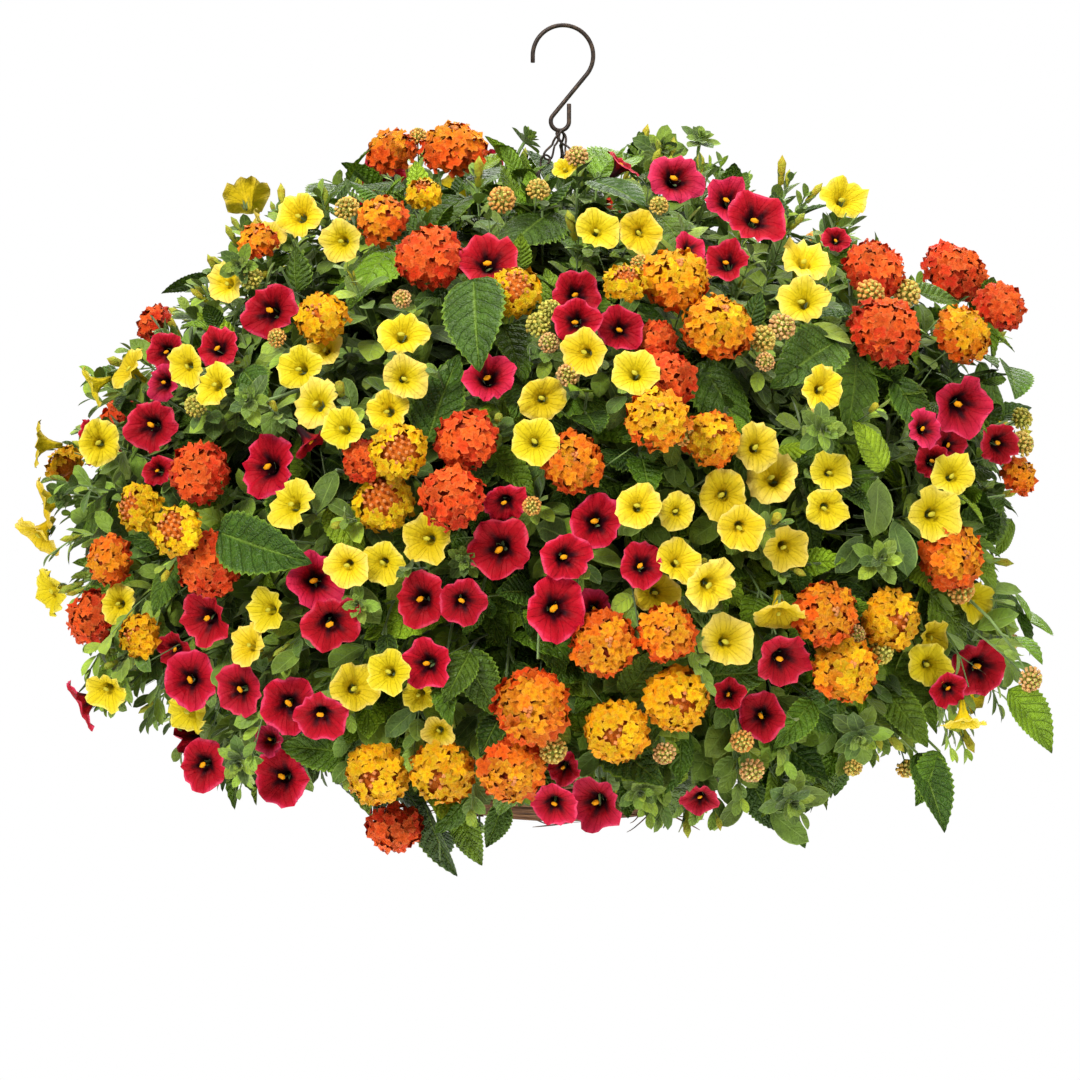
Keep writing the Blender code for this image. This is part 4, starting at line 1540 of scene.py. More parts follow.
@dataclass
class Chains:
    """Three chains of twisted links, from the hook's eye to the rim."""

    hook: Hook
    wire: float = 0.0007
    links: int = 18
    half_width: float = 0.0026
    overlap: float = 0.0012
    top_step: float = 0.0034
    rim_radius: float = 0.150
    rim_z: float = -0.324
    rim_roll: float = 0.005
    play: float = 0.0003
    foot_lift: float = 0.0011

    ANGLES = {"chain_left": 200, "chain_right": 320, "chain_back": 80}
    LINK_POINTS = 28

    def build(self, material: Material) -> None:
        """Makes each chain as a piece of its own.

        Args:
            material: Their finish.
        """
        drop = self.hook.eye + self.hook.wire + self.play
        for index, (node, degrees) in enumerate(self.ANGLES.items()):
            top = self.hook.eye_place + Vector((0, (index - 1) * self.top_step, -drop))
            turn = math.radians(degrees)
            height = self.rim_z + self.rim_roll + self.foot_lift
            foot = round_axis(turn, self.rim_radius, height)
            lines = Lines(node + "_links", 1)
            for link in range(self.links):
                lines.add(self.link(top, foot, link), self.wire, closed=True)
            show(lines.mesh(), node + "_links", material, "dark_bronze_wire", [node])

    def keep_clear(self, clearance: Clearance) -> None:
        """Keeps the leaves away from where the chains leave the hook."""
        for step in range(7):
            clearance.keep(self.hook.eye_place - UP * 0.005 * step, 0.012 + 0.0012 * step)

    def link(self, top: Vector, foot: Vector, index: int) -> Line:
        """One link: a loop at each end, a quarter turn apart, that cross in the middle.

        Args:
            top: The chain's upper end.
            foot: Its lower end.
            index: Which link it is, from the top.

        Returns:
            The link's line.
        """
        way = (foot - top).normalized()
        pitch = (foot - top).length / self.links
        half = pitch / 2 + self.overlap
        middle = top + way * pitch * (index + 0.5)
        sides = [way.cross(UP).normalized()]
        sides.append(way.cross(sides[0]))
        points = []
        for step in range(self.LINK_POINTS):
            t = math.tau * step / self.LINK_POINTS
            share = math.cos(t)
            turn = math.pi / 2 * (index + (share + 1) / 2)
            flat = sides[0] * math.cos(turn) + sides[1] * math.sin(turn)
            aside = way.cross(flat)
            wide = self.half_width * math.sin(2 * t) * math.copysign(1, share)
            points.append(middle + way * half * share + flat * wide + aside * self.wire * 1.2 * math.sin(t))
        return points


@dataclass
class Basket:
    """The woven bowl, its liner and the soil."""

    rim_radius: float = 0.150
    rim_z: float = -0.324
    depth: float = 0.143
    base_radius: float = 0.052
    wall: float = 0.006
    cane: float = 0.0026
    stake: float = 0.0017
    stakes: int = 34
    rows: int = 33
    sway: float = 0.0019
    strand: float = 0.0025
    soil_depth: float = 0.022
    liner_wall: float = 0.0012
    gap: float = 0.0003

    RIM_STRANDS = 3
    RIM_COILS = 16
    RIM_POINTS = 216
    RIM_OUT = 0.0034
    RIM_UP = 0.0012
    RIM_COIL = (0.0026, 0.0022)
    FIBRES = 150
    FIBRE_LENGTHS = (0.012, 0.034)
    FIBRE_RADII = (0.00018, 0.00055)
    CRUMBS = 260
    CRUMB_SIZES = (0.0012, 0.003)
    WHITE_GRAIN = (9, 10, 11, 1)
    CRUMB = (1.3, 1.1, 0.9, 1)

    def side(self, share: float, inset: float) -> tuple[float, float]:
        """How far out and how high the wall is at a share of the way from rim to base.

        Args:
            share: The share, from 0 to 1.
            inset: How far within the wall.

        Returns:
            The distance from the axis, and the height.
        """
        turn = math.pi / 2 * share
        across = self.base_radius + (self.rim_radius - self.base_radius) * math.cos(turn) - inset
        return across, self.rim_z - (self.depth - inset) * math.sin(turn)

    def build(self, bark: Material, liner: Material, soil: Material) -> None:
        """Makes the bowl, its loose fibres, the liner and the soil.

        Args:
            bark: The finish of the bowl.
            liner: The finish of the liner.
            soil: The finish of the soil.
        """
        show(self.weave(), "bowl_weave", bark, "wicker", ["wicker_bowl"])
        show(self.fibres(), "bowl_loose_fibres", bark, "wicker")
        inside = [self.side(i / 16, self.wall + self.gap + self.liner_wall) for i in range(16, 0, -1)]
        outside = [self.side(i / 16, self.wall + self.gap) for i in range(1, 17)]
        profile = [(0, inside[0][1]), *inside, *outside, (0, outside[-1][1])]
        show(self.turned(profile, "pot_liner"), "pot_liner", liner, "liner", ["basket_liner"])
        show(self.soil_bed(), "soil_bed", soil, "soil", ["potting_soil"])

    def weave(self) -> Mesh:
        """Canes woven round upright stakes, with a twisted rim.

        Returns:
            The weave.
        """
        draw = random.Random(SEED)
        lines = Lines("bowl_weave", 1)
        for row in range(self.rows):
            across, height = self.side((row + 0.5) / self.rows, self.wall / 2)
            lines.add(*self.woven(across, height, row, draw), closed=True)
        rings = int(self.base_radius / (self.cane * 2.0))
        for ring in range(1, rings):
            height = self.rim_z - self.depth + self.wall / 2
            lines.add(*self.woven(self.base_radius - ring * self.cane * 2.0, height, ring, draw), closed=True)
        for index in range(self.stakes):
            turn = math.tau * index / self.stakes
            places = [self.side(share / 12, self.wall / 2) for share in range(13)]
            places.append((0.008, places[-1][1]))
            lines.add([round_axis(turn, *place) for place in places], self.stake)
        for strand in range(self.RIM_STRANDS):
            points = []
            for step in range(self.RIM_POINTS):
                turn = math.tau * step / self.RIM_POINTS
                coil = turn * self.RIM_COILS + math.tau * strand / self.RIM_STRANDS
                across = self.rim_radius - self.wall / 2 + self.RIM_OUT + math.cos(coil) * self.RIM_COIL[0]
                height = self.rim_z + self.RIM_UP + math.sin(coil) * self.RIM_COIL[1]
                points.append(round_axis(turn, across, height))
            lines.add(points, self.strand, closed=True)
        return lines.mesh()

    def woven(self, across: float, height: float, row: int, draw: random.Random) -> tuple[Line, list[float]]:
        """One round of cane, in and out of the stakes, thick and thin as it grew.

        Args:
            across: Its distance from the axis.
            height: Its height.
            row: Which round it is.
            draw: Where its chance differences come from.

        Returns:
            Its line, and its radius at each point.
        """
        steps = max(24, int(across * 640))
        sway = self.sway if across > 0.02 else 0.0005
        phase = draw.uniform(0, 40)
        line, radii = [], []
        for step in range(steps):
            turn = math.tau * step / steps
            out = across + sway * math.cos(turn * self.stakes / 2 + math.pi * row)
            here = round_axis(turn, out, height)
            here.z += 0.0007 * noise.noise(here * 30 + Vector((0, 0, phase)))
            line.append(here)
            radii.append(self.cane * (1.0 + 0.28 * noise.noise(here * 90 + Vector((0, phase, 0)))))
        return line, radii

    def fibres(self) -> Mesh:
        """Loose fibres and twigs that stand off the bowl.

        Returns:
            The fibres.
        """
        draw = random.Random(SEED + 1)
        lines = Lines("bowl_loose_fibres", 0)
        for _ in range(self.FIBRES):
            turn = draw.uniform(0, math.tau)
            across, height = self.side(draw.uniform(0.1, 1.0), 0.0)
            out = round_axis(turn, 1, 0)
            start = out * across + UP * height
            way = Vector((-out.y, out.x, 0)) * draw.choice((-1, 1)) + out * 0.3 + loose(draw, 0.4)
            way.normalize()
            length = draw.uniform(*self.FIBRE_LENGTHS)
            bend = (out + loose(draw, 0.5)) * length * 0.12
            near = start + way * length * 0.4
            far = start + way * length * 0.8 + bend
            line = bezier(start - out * 0.003, near, far, start + way * length + bend - out * 0.001, 5)
            thick = draw.uniform(*self.FIBRE_RADII)
            lines.add(line, [thick * share for share in (1, 1, 0.9, 0.8, 0.6, 0.3)])
        return lines.mesh()

    @staticmethod
    def turned(profile: Sequence[tuple[float, float]], name: str) -> Mesh:
        """A profile of distances out and heights, turned about the upright axis.

        Args:
            profile: The profile, from the bottom up.
            name: The name of the mesh.

        Returns:
            The turned mesh.
        """
        shape = bmesh.new()
        verts = [shape.verts.new((across, 0, height)) for across, height in profile]
        edges = [shape.edges.new(pair) for pair in zip(verts, verts[1:])]
        bmesh.ops.spin(shape, geom=verts + edges, cent=(0, 0, 0), axis=(0, 0, 1), angle=math.tau,
                       steps=64, use_merge=True)
        bmesh.ops.remove_doubles(shape, verts=shape.verts, dist=1e-5)
        bmesh.ops.recalc_face_normals(shape, faces=shape.faces)
        mesh = bpy.data.meshes.new(name)
        shape.to_mesh(mesh)
        shape.free()
        return mesh

    def soil_bed(self) -> Mesh:
        """A lumpy bed of soil with bark crumbs and white grains on it.

        Returns:
            The bed.
        """
        draw = random.Random(SEED + 2)
        top = self.rim_z - self.soil_depth
        inset = self.wall + 0.0018
        shares = [i / 200 for i in range(201) if self.side(i / 200, inset)[1] < top]
        wide = self.side(shares[0], inset)[0]
        profile = [(wide * i / 26, top) for i in range(27)]
        profile += [self.side(share, inset) for share in shares[6::18]]
        profile.append((0, self.side(1, inset)[1]))
        bed = self.turned(profile, "soil_bed")
        shape = blank()
        shape.from_mesh(bed)
        for vert in shape.verts:
            if vert.co.z > top - MERGE:
                vert.co.z += 0.006 * noise.fractal(vert.co * 40, 0.8, 2.0, 4) - 0.001
        bunch = Bunch("soil_bed")
        bunch.add(Shape(shape), Matrix.Identity(4), (1, 1, 1, 1))
        crumb = ball_shape(1, 0.3)
        for index in range(self.CRUMBS):
            reach, turn = wide * 0.97 * math.sqrt(draw.random()), draw.uniform(0, math.tau)
            here = round_axis(turn, reach, top)
            here.z += 0.006 * noise.fractal(here * 40, 0.8, 2.0, 4)
            size = draw.uniform(*self.CRUMB_SIZES)
            squash = Matrix.Diagonal((size * draw.uniform(0.8, 2.0), size, size * 0.6, 1))
            place = Matrix.Translation(here) @ Matrix.Rotation(draw.uniform(0, math.tau), 4, "Z") @ squash
            bunch.add(crumb, place, self.CRUMB if index % 5 else self.WHITE_GRAIN)
        return bunch.mesh()


# Blooms


class Bloom(Enum):
    """The colours of the blooms: two of the lantana and two of the calibrachoa."""

    ORANGE = "orange"
    GOLD = "gold"
    YELLOW = "yellow"
    RED = "red"

    @property
    def slot(self) -> str:
        """The record's slot for petals of this colour."""
        return self.value + ("_florets" if self in (Bloom.ORANGE, Bloom.GOLD) else "_petals")


class Head(Enum):
    """How far a lantana head has opened, and so its colours."""

    RED = "red-orange all over"
    ORANGE = "orange with a yellow middle"
    AMBER = "yellow in the middle and orange round it"
    GOLD = "golden round a few peach buds"
    YELLOW = "a yellow ring round peach buds"


# Heads on the plan, and how far each has opened
OPENED = {
    Head.RED: (
        (438, 182), (430, 258), (656, 340), (668, 380), (874, 270), (885, 331), (954, 273), (1000, 306),
        (552, 501), (200, 473), (209, 564), (93, 618), (148, 575), (102, 654), (358, 462), (467, 438),
        (452, 493), (394, 827),
    ),
    Head.ORANGE: (
        (392, 151), (454, 151), (383, 220), (257, 242), (601, 424), (573, 462), (110, 557), (603, 644),
        (667, 632), (531, 707), (825, 613), (951, 557), (1018, 476), (513, 770),
    ),
    Head.AMBER: ((675, 281), (718, 328), (962, 335), (712, 438), (657, 419), (844, 667), (117, 582)),
    Head.GOLD: ((140, 636), (890, 619), (676, 700), (617, 732), (377, 773), (443, 772), (322, 318)),
    Head.YELLOW: ((423, 194), (515, 292), (625, 284), (139, 508), (176, 531), (399, 451), (384, 502)),
}


# Where the chains leave the leaves on the plan, how far round them no shoot ends, and the crown's middle
CHAINS_ON_PLAN = (556, 128)
ROOM_ROUND_CHAINS = 58
CROWN_ON_PLAN = (535, 480)
# Small blooms between the others on the plan: across, down, width
SMALL_YELLOW = (
    (270, 235, 32), (323, 347, 38), (564, 167, 24), (417, 697, 36), (438, 733, 34), (935, 638, 36),
    (707, 268, 24),
)
SMALL_RED = (
    (490, 303, 28), (836, 238, 28), (952, 444, 38), (935, 461, 38), (156, 470, 32), (87, 432, 26),
    (173, 650, 36), (268, 740, 32), (593, 608, 38), (563, 770, 36), (700, 801, 36), (729, 694, 32),
    (949, 691, 36),
)
# Bells seen from the side: across, down, and the way they face, in degrees up from the right
TURNED = (
    (94, 385, 205), (129, 371, 135), (41, 445, 165), (48, 503, 185), (41, 536, 215), (780, 612, 268),
    (965, 721, 262), (84, 705, 195), (310, 442, 320), (622, 166, 60), (107, 575, 200),
)
# Lantana leaves beyond those of the frame: where the blade starts, and its tip
MORE_BLADES = (
    ((917, 753), (950, 827)), ((940, 752), (921, 806)), ((1006, 694), (979, 740)), ((1012, 520), (1000, 556)),
    ((470, 652), (444, 700)), ((560, 640), (536, 690)), ((745, 470), (700, 500)), ((884, 470), (858, 420)),
    ((330, 505), (362, 556)), ((405, 330), (372, 372)), ((620, 265), (660, 292)), ((812, 700), (778, 748)),
    ((885, 690), (930, 742)), ((175, 560), (150, 612)), ((455, 585), (490, 628)), ((690, 560), (668, 612)),
)
# Broad smooth leaves of the calibrachoa: where the blade starts, and its tip
OVALS = (
    ((878, 478), (880, 532)), ((893, 520), (906, 578)), ((862, 536), (838, 572)), ((786, 792), (828, 798)),
    ((770, 812), (806, 842)), ((744, 795), (722, 826)), ((730, 400), (704, 436)), ((336, 470), (318, 514)),
    ((352, 584), (378, 622)), ((610, 420), (574, 436)), ((650, 500), (622, 530)), ((230, 610), (262, 640)),
    ((300, 650), (272, 676)), ((520, 720), (500, 680)), ((470, 740), (430, 716)), ((108, 640), (90, 600)),
)
# Clusters of lantana buds: across, down, width
BUD_CLUSTERS = (
    (347, 209, 24), (502, 200, 26), (538, 190, 22), (577, 157, 22), (659, 206, 18), (550, 311, 22),
    (538, 325, 24), (549, 343, 20), (418, 137, 18), (402, 299, 18), (568, 375, 22), (640, 264, 18),
    (251, 278, 22), (277, 338, 18), (870, 294, 28), (906, 293, 28), (990, 289, 20), (782, 327, 26),
    (762, 339, 26), (1021, 419, 22), (1022, 444, 24), (765, 362, 18), (817, 417, 18), (196, 406, 22),
    (683, 434, 24), (532, 506, 18), (960, 589, 28), (881, 652, 24), (856, 634, 18), (1010, 642, 18),
    (1030, 679, 24), (742, 741, 22), (752, 770, 24), (664, 753, 22), (853, 767, 18), (553, 750, 26),
)
# Shoots that end just inside the outline: across, down, and whether they are lantana
EDGE_SHOOTS = (
    (345, 178, 1), (398, 140, 1), (460, 135, 1), (505, 152, 1), (520, 162, 1), (548, 170, 1), (600, 158, 1),
    (640, 145, 0), (672, 152, 0), (700, 168, 0), (725, 158, 0), (790, 180, 0), (805, 195, 0), (842, 205, 0),
    (870, 245, 1), (905, 285, 1), (945, 262, 1), (1000, 300, 1), (1008, 380, 1), (1008, 420, 1),
    (1005, 495, 1), (980, 560, 1), (1020, 610, 1), (1035, 690, 1), (1020, 730, 1), (940, 800, 1),
    (960, 755, 0), (900, 755, 0),
    (880, 740, 0), (850, 745, 1), (800, 825, 0), (780, 810, 1), (740, 800, 0), (700, 820, 0), (650, 815, 0),
    (600, 815, 1), (520, 795, 1), (480, 850, 1), (440, 860, 1), (380, 815, 0), (350, 775, 0), (280, 785, 0),
    (240, 790, 0), (200, 775, 0), (165, 725, 0), (105, 705, 0), (90, 670, 0), (75, 600, 0), (40, 600, 0),
    (35, 545, 0), (50, 490, 0), (40, 455, 0), (85, 400, 0), (95, 375, 0), (130, 350, 0), (160, 330, 0),
    (200, 285, 0), (245, 235, 0), (280, 212, 0), (320, 195, 0),
)


@dataclass(frozen=True)
class Extras:
    """Blooms of one kind that are added beyond those of the frame and the plan.

    Attributes:
        count: How many are wanted.
        smallest: Their smallest radius.
        largest: Their largest radius.
        stands: How far out they stand, as a share of the crown.
        margin: How far within the outline they are seen, as a share of the way from the middle.
    """

    count: int
    smallest: float
    largest: float
    stands: float
    margin: float


EXTRA_BELLS = Extras(34, 0.011, 0.0155, 1.05, 0.1)
EXTRA_HEADS = Extras(9, 0.015, 0.02, 1.0, 0.3)
EXTRA_BUDS = Extras(26, 0.006, 0.008, 1.0, 0.1)


@dataclass
class LantanaHead:
    """One lantana head: florets on a dome, each on its tube, round the last buds."""

    stock: Stock
    draw: random.Random

    FLORETS = 70
    MOST = 80
    LEAST = 26
    USUAL_RADIUS = 0.0215
    FLORET_RADIUS = 0.0053
    HEIGHT = 0.8
    LOWEST = math.radians(118)

    PAINTS = {
        Head.RED: (paint(252, 104, 30), paint(238, 62, 20), paint(214, 42, 16)),
        Head.ORANGE: (paint(255, 172, 16), paint(254, 108, 14), paint(242, 74, 16)),
        Head.AMBER: (paint(255, 206, 10), paint(255, 156, 8), paint(250, 100, 14)),
        Head.GOLD: (paint(255, 202, 6), paint(255, 188, 4), paint(255, 164, 4)),
        Head.YELLOW: (paint(255, 218, 8), paint(255, 208, 4), paint(255, 192, 4)),
    }
    SHADOW = (paint(222, 112, 10), paint(176, 46, 16))
    CORE = Matrix.Diagonal((0.8, 0.8, 0.64, 1))
    CLUSTER_CORE = Matrix.Diagonal((0.8, 0.8, 0.66, 1))
    CLUSTER_SHADOW = paint(150, 166, 62)
    PEACH = paint(238, 148, 84)
    PALE_BUD = paint(222, 224, 110)
    BUDS = 84
    LEAST_BUDS = 4
    BUD_TINTS = (paint(236, 206, 104), paint(246, 186, 96), paint(240, 196, 130), paint(216, 216, 96))
    BUD_SPREAD = {Head.RED: 0.0, Head.ORANGE: 8.0, Head.AMBER: 6.0, Head.GOLD: 20.0, Head.YELLOW: 40.0}

    def tint(self, kind: Head, share: float) -> Colour:
        """A floret's colour at a share of the way from the middle to the lowest round.

        Args:
            kind: How far its head has opened.
            share: The share, from 0 to 1.

        Returns:
            The colour.
        """
        inner, middle, outer = self.PAINTS[kind]
        share += self.draw.uniform(-0.26, 0.26)
        colour = blend(inner, middle, min(max(share / 0.45, 0), 1))
        if share > 0.45:
            colour = blend(middle, outer, min((share - 0.45) / 0.4, 1))
        return shade(colour, self.draw.uniform(0.7, 1.15))

    def add(self, bunch: Bunch, spot: Spot, kind: Head) -> None:
        """Sets a head.

        Args:
            bunch: The piece that it goes into.
            spot: Where it grows.
            kind: How far it has opened.
        """
        draw = self.draw
        size = spot.size
        count = round(self.FLORETS * (size / self.USUAL_RADIUS) ** 1.6)
        count = max(self.LEAST, min(self.MOST, count))
        frame_of = spot.place @ Matrix.Scale(size, 4)
        lowest = 1 - math.cos(self.LOWEST)
        turned = draw.uniform(0, math.tau)
        bunch.add(self.stock.core, frame_of @ self.CORE, self.SHADOW[kind in (Head.RED, Head.ORANGE)])
        bud_from = math.cos(math.radians(self.BUD_SPREAD[kind]))
        for index in range(count):
            ball = on_cap(index, count, lowest, turned)
            if ball.z > bud_from:
                continue
            reach = draw.uniform(0.9, 1.0) + 0.12 * noise.noise(ball * 2 + spot.middle * 60)
            here = Vector((ball.x, ball.y, ball.z * self.HEIGHT)) * reach
            out = Vector((ball.x, ball.y, ball.z / self.HEIGHT)).normalized() + loose(draw, 0.32)
            out.z += 0.12
            wide = self.FLORET_RADIUS / size * (size / self.USUAL_RADIUS) ** 0.25 * draw.uniform(0.86, 1.14)
            place = frame_of @ faced(here, out, wide, draw.uniform(0, math.tau))
            tint = self.tint(kind, index / count)
            bunch.add(draw.choice(self.stock.floret), place, tint)
            bunch.add(self.stock.tube, place @ Matrix.Diagonal((1, 1, 2.0, 1)), shade(tint, 0.7))
        if self.BUD_SPREAD[kind] > 0:
            self.buds(bunch, frame_of, self.BUD_SPREAD[kind], 0.84, self.PEACH)

    def buds(
        self,
        bunch: Bunch,
        place: Matrix,
        spread: float,
        height: float,
        tint: Colour,
        width: float = 0.13,
        share_of_all: float = 1.0,
    ) -> None:
        """Sets square buds on a dome.

        Args:
            bunch: The piece that they go into.
            place: The dome's frame, in which its radius is 1.
            spread: How far down from the middle they go, in degrees.
            height: The dome's height.
            tint: Their colour.
            width: How wide each one is.
            share_of_all: How many there are, next to the buds of a full head.
        """
        draw = self.draw
        share = 1 - math.cos(math.radians(spread))
        count = max(self.LEAST_BUDS, round(share * self.BUDS * share_of_all))
        for index in range(count):
            ball = on_cap(index, count, share)
            here = Vector((ball.x, ball.y, ball.z * height)) * draw.uniform(0.84, 0.94)
            bud = faced(here, ball + loose(draw, 0.12), width, draw.uniform(0, math.tau))
            colour = shade(tint, draw.uniform(0.75, 1.25), draw.uniform(-0.1, 0.1))
            bunch.add(self.stock.bud, place @ bud, colour)

    def cluster(self, bunch: Bunch, spot: Spot) -> None:
        """Sets a cluster of buds that has not opened yet.

        Args:
            bunch: The piece that it goes into.
            spot: Where it grows.
        """
        place = spot.place @ Matrix.Scale(spot.size, 4)
        tint = self.draw.choice(self.BUD_TINTS)
        bunch.add(self.stock.core, place @ self.CLUSTER_CORE, self.CLUSTER_SHADOW)
        self.buds(bunch, place, 104, 0.84, shade(tint, 1.15), 0.3, 0.4)
        self.buds(bunch, place, 48, 0.98, self.PALE_BUD, 0.2, 0.5)


@dataclass
class Blooms(Planting):
    """Every flower head, bell and bud cluster."""

    SPREAD = 1.1
    MOODS = (
        (1, 1, 1, 1),
        (0.88, 0.84, 0.86, 1),
        (1.12, 1.08, 1.15, 1),
        (0.94, 0.96, 0.82, 1),
        (1.04, 0.97, 1.1, 1),
    )
    GOLD_EYE = paint(228, 124, 8)
    GOLD_BLUSH = paint(252, 184, 110)
    # How far a head has opened where the plan doesn't say it
    DRAWN = {
        Bloom.ORANGE: (Head.RED, Head.RED, Head.ORANGE),
        Bloom.GOLD: (Head.AMBER, Head.GOLD, Head.YELLOW),
    }
    FAR_SIDE = 0.03
    HIDDEN = 0.04
    NEAR_ON_PLAN = 14
    TRIES = 20
    # How far the crown is drawn in for a small bloom, in the order in which they are tried
    SUNK = (0.97, 0.94, 0.91, 0.88)
    # How near a bell of the plan has to be, how far down it looks, and how much larger it is
    TURNED_NEAR = 9
    TURNED_DEPTH = 0.1
    TURNED_SIZE = 1.15
    # How far the calyx stands behind a bell's face, in radii
    CALYX_BEHIND = 1.1
    CALYX = paint(118, 146, 78)
    SEPALS = 5

    def __post_init__(self) -> None:
        """Makes the finishes of the petals."""
        self.draw = random.Random(SEED + 3)
        self.spots: list[Spot] = []
        self.head = LantanaHead(self.stock, self.draw)
        self.skins = {
            Bloom.ORANGE: FloretFinish("orange_floret").material(),
            Bloom.GOLD: FloretFinish("gold_floret", self.GOLD_EYE, self.GOLD_BLUSH).material(),
            Bloom.YELLOW: YELLOW_PETAL.material(),
            Bloom.RED: RED_PETAL.material(),
        }

    def opened(self, spot: Spot, colour: Bloom) -> Head:
        """How far a head has opened, by the nearest one on the plan or, on the far side, by a draw.

        Args:
            spot: Where the head grows.
            colour: Its main colour.

        Returns:
            How far it has opened.
        """
        drawn = self.draw.choice(self.DRAWN[colour])
        if spot.middle.y > self.FAR_SIDE:
            return drawn
        here = Vector(self.sight.plan(spot.middle))
        places = [(Vector(place), kind) for kind, places in OPENED.items() for place in places]
        distance, kind = min((((here - place).length, kind) for place, kind in places), key=itemgetter(0))
        return kind if distance < self.NEAR_ON_PLAN else drawn

    def heads(self, colour: Bloom, nodes: dict[str, FrameNode]) -> None:
        """Sets the heads of all nodes of a colour, a piece for each node.

        Args:
            colour: The colour.
            nodes: The nodes by their names.
        """
        for name, node in nodes.items():
            bunch = Bunch(name.replace("lantana_", ""))
            spots = node.heads()
            self.spots += spots
            for spot in spots:
                self.keep_seen(spot)
                self.head.add(bunch, spot, self.opened(spot, colour))
            show(bunch.mesh(), bunch.name, self.skins[colour], colour.slot, [name])

    def keep_seen(self, spot: Spot) -> None:
        """Keeps a bloom's face free, and the way to the viewer from a bloom on the near side.

        Args:
            spot: Where the bloom grows.
        """
        self.clearance.keep(spot.middle + spot.out * spot.size * 0.35, spot.size * 0.95)
        self.clearance.keep(spot.middle - spot.out * spot.size * 0.5, spot.size * 0.4)
        if spot.middle.y > self.HIDDEN:
            return
        towards = (self.sight.eye - spot.middle).normalized()
        for share in (1.1, 2.2):
            self.clearance.keep(spot.middle + towards * spot.size * share, spot.size * 0.85)

    def bell(self, bunch: Bunch, green: Bunch, spot: Spot, shape: Shape | None = None) -> None:
        """Sets one bell with its calyx.

        Args:
            bunch: The piece of the petals.
            green: The piece of the calyces.
            spot: Where it grows.
            shape: Its form, or None for any of the usual ones.
        """
        draw = self.draw
        self.keep_seen(spot)
        nod = Matrix.Rotation(draw.uniform(-0.2, 0.2), 4, "X")
        nod = nod @ Matrix.Rotation(draw.uniform(-0.2, 0.2), 4, "Y")
        place = spot.place @ nod @ Matrix.Scale(spot.size * self.SPREAD, 4)
        mood = draw.choice(self.MOODS)
        bunch.add(shape or draw.choice(self.stock.bell), place, mood, draw.random() ** 2)
        foot, _ = spot.foot(self.CALYX_BEHIND)
        across = spot.place.to_3x3().col[0]
        for sepal in range(self.SEPALS):
            side = Matrix.Rotation(math.tau * sepal / self.SEPALS + 0.3, 3, spot.out) @ across
            way = spot.out * 0.9 + side * 0.42 + loose(draw, 0.1)
            start = foot + side * 0.0008
            green.add(self.stock.sepal, aimed(start, way, side * -1, spot.size * 0.6), self.CALYX)

    def bell_nodes(self, colour: Bloom, nodes: dict[str, FrameNode], green: Bunch) -> None:
        """Sets the bells of all nodes of a colour, a piece for each node.

        Args:
            colour: The colour.
            nodes: The nodes by their names.
            green: The piece of the calyces.
        """
        for name, node in nodes.items():
            bunch = Bunch(name.replace("calibrachoa_", ""))
            for straight in node.bells():
                spot = self.turned(straight)
                self.spots.append(spot)
                self.bell(bunch, green, spot, None if spot is straight else self.stock.funnel)
            show(bunch.mesh(), bunch.name, self.skins[colour], colour.slot, [name])

    def turned(self, spot: Spot) -> Spot:
        """Turns a bell about its middle where it is seen from the side.

        Args:
            spot: Where the frame has it.

        Returns:
            Where it grows.
        """
        here = Vector(self.sight.plan(spot.middle))
        for *plan, degrees in TURNED:
            if (here - Vector(plan)).length > self.TURNED_NEAR or spot.middle.y > self.TURNED_DEPTH:
                continue
            turn = math.radians(degrees)
            way = Vector((math.cos(turn), -0.3, 0)) + self.sight.up * math.sin(turn)
            mouth = spot.middle + way.normalized() * spot.size * 0.4
            return Spot(faced(mouth, way, 1.0), spot.size * self.TURNED_SIZE)
        return spot

    def spot(self, plan: Sequence[float], way: Vector | None = None, scale: float = 1.0) -> Spot:
        """Where a bloom of the plan grows.

        Args:
            plan: Across, down and width on the plan.
            way: The way it faces, or None for out of the crown and towards the viewer.
            scale: How far the crown is drawn in there.

        Returns:
            Its place and size.
        """
        point = self.crown.seen(self.sight, plan, scale)
        towards = self.sight.eye - point
        size = plan[2] / 2 * PLAN_STEP * towards.length / EYE_DISTANCE
        out = way or self.crown.outward(point) + towards.normalized() * 0.7 + loose(self.draw, 0.3)
        return Spot(faced(point, out, 1.0, self.draw.uniform(0, math.tau)), size)

    def sunk(self, plan: Sequence[float]) -> Spot:
        """Where a small bloom of the plan grows, as far out as the others leave room.

        Args:
            plan: Across, down and width on the plan.

        Returns:
            Its place and size.
        """
        for scale in self.SUNK:
            spot = self.spot(plan, scale=scale)
            if self.clearance.free([spot.middle], spot.size * 0.6):
                break
        return spot

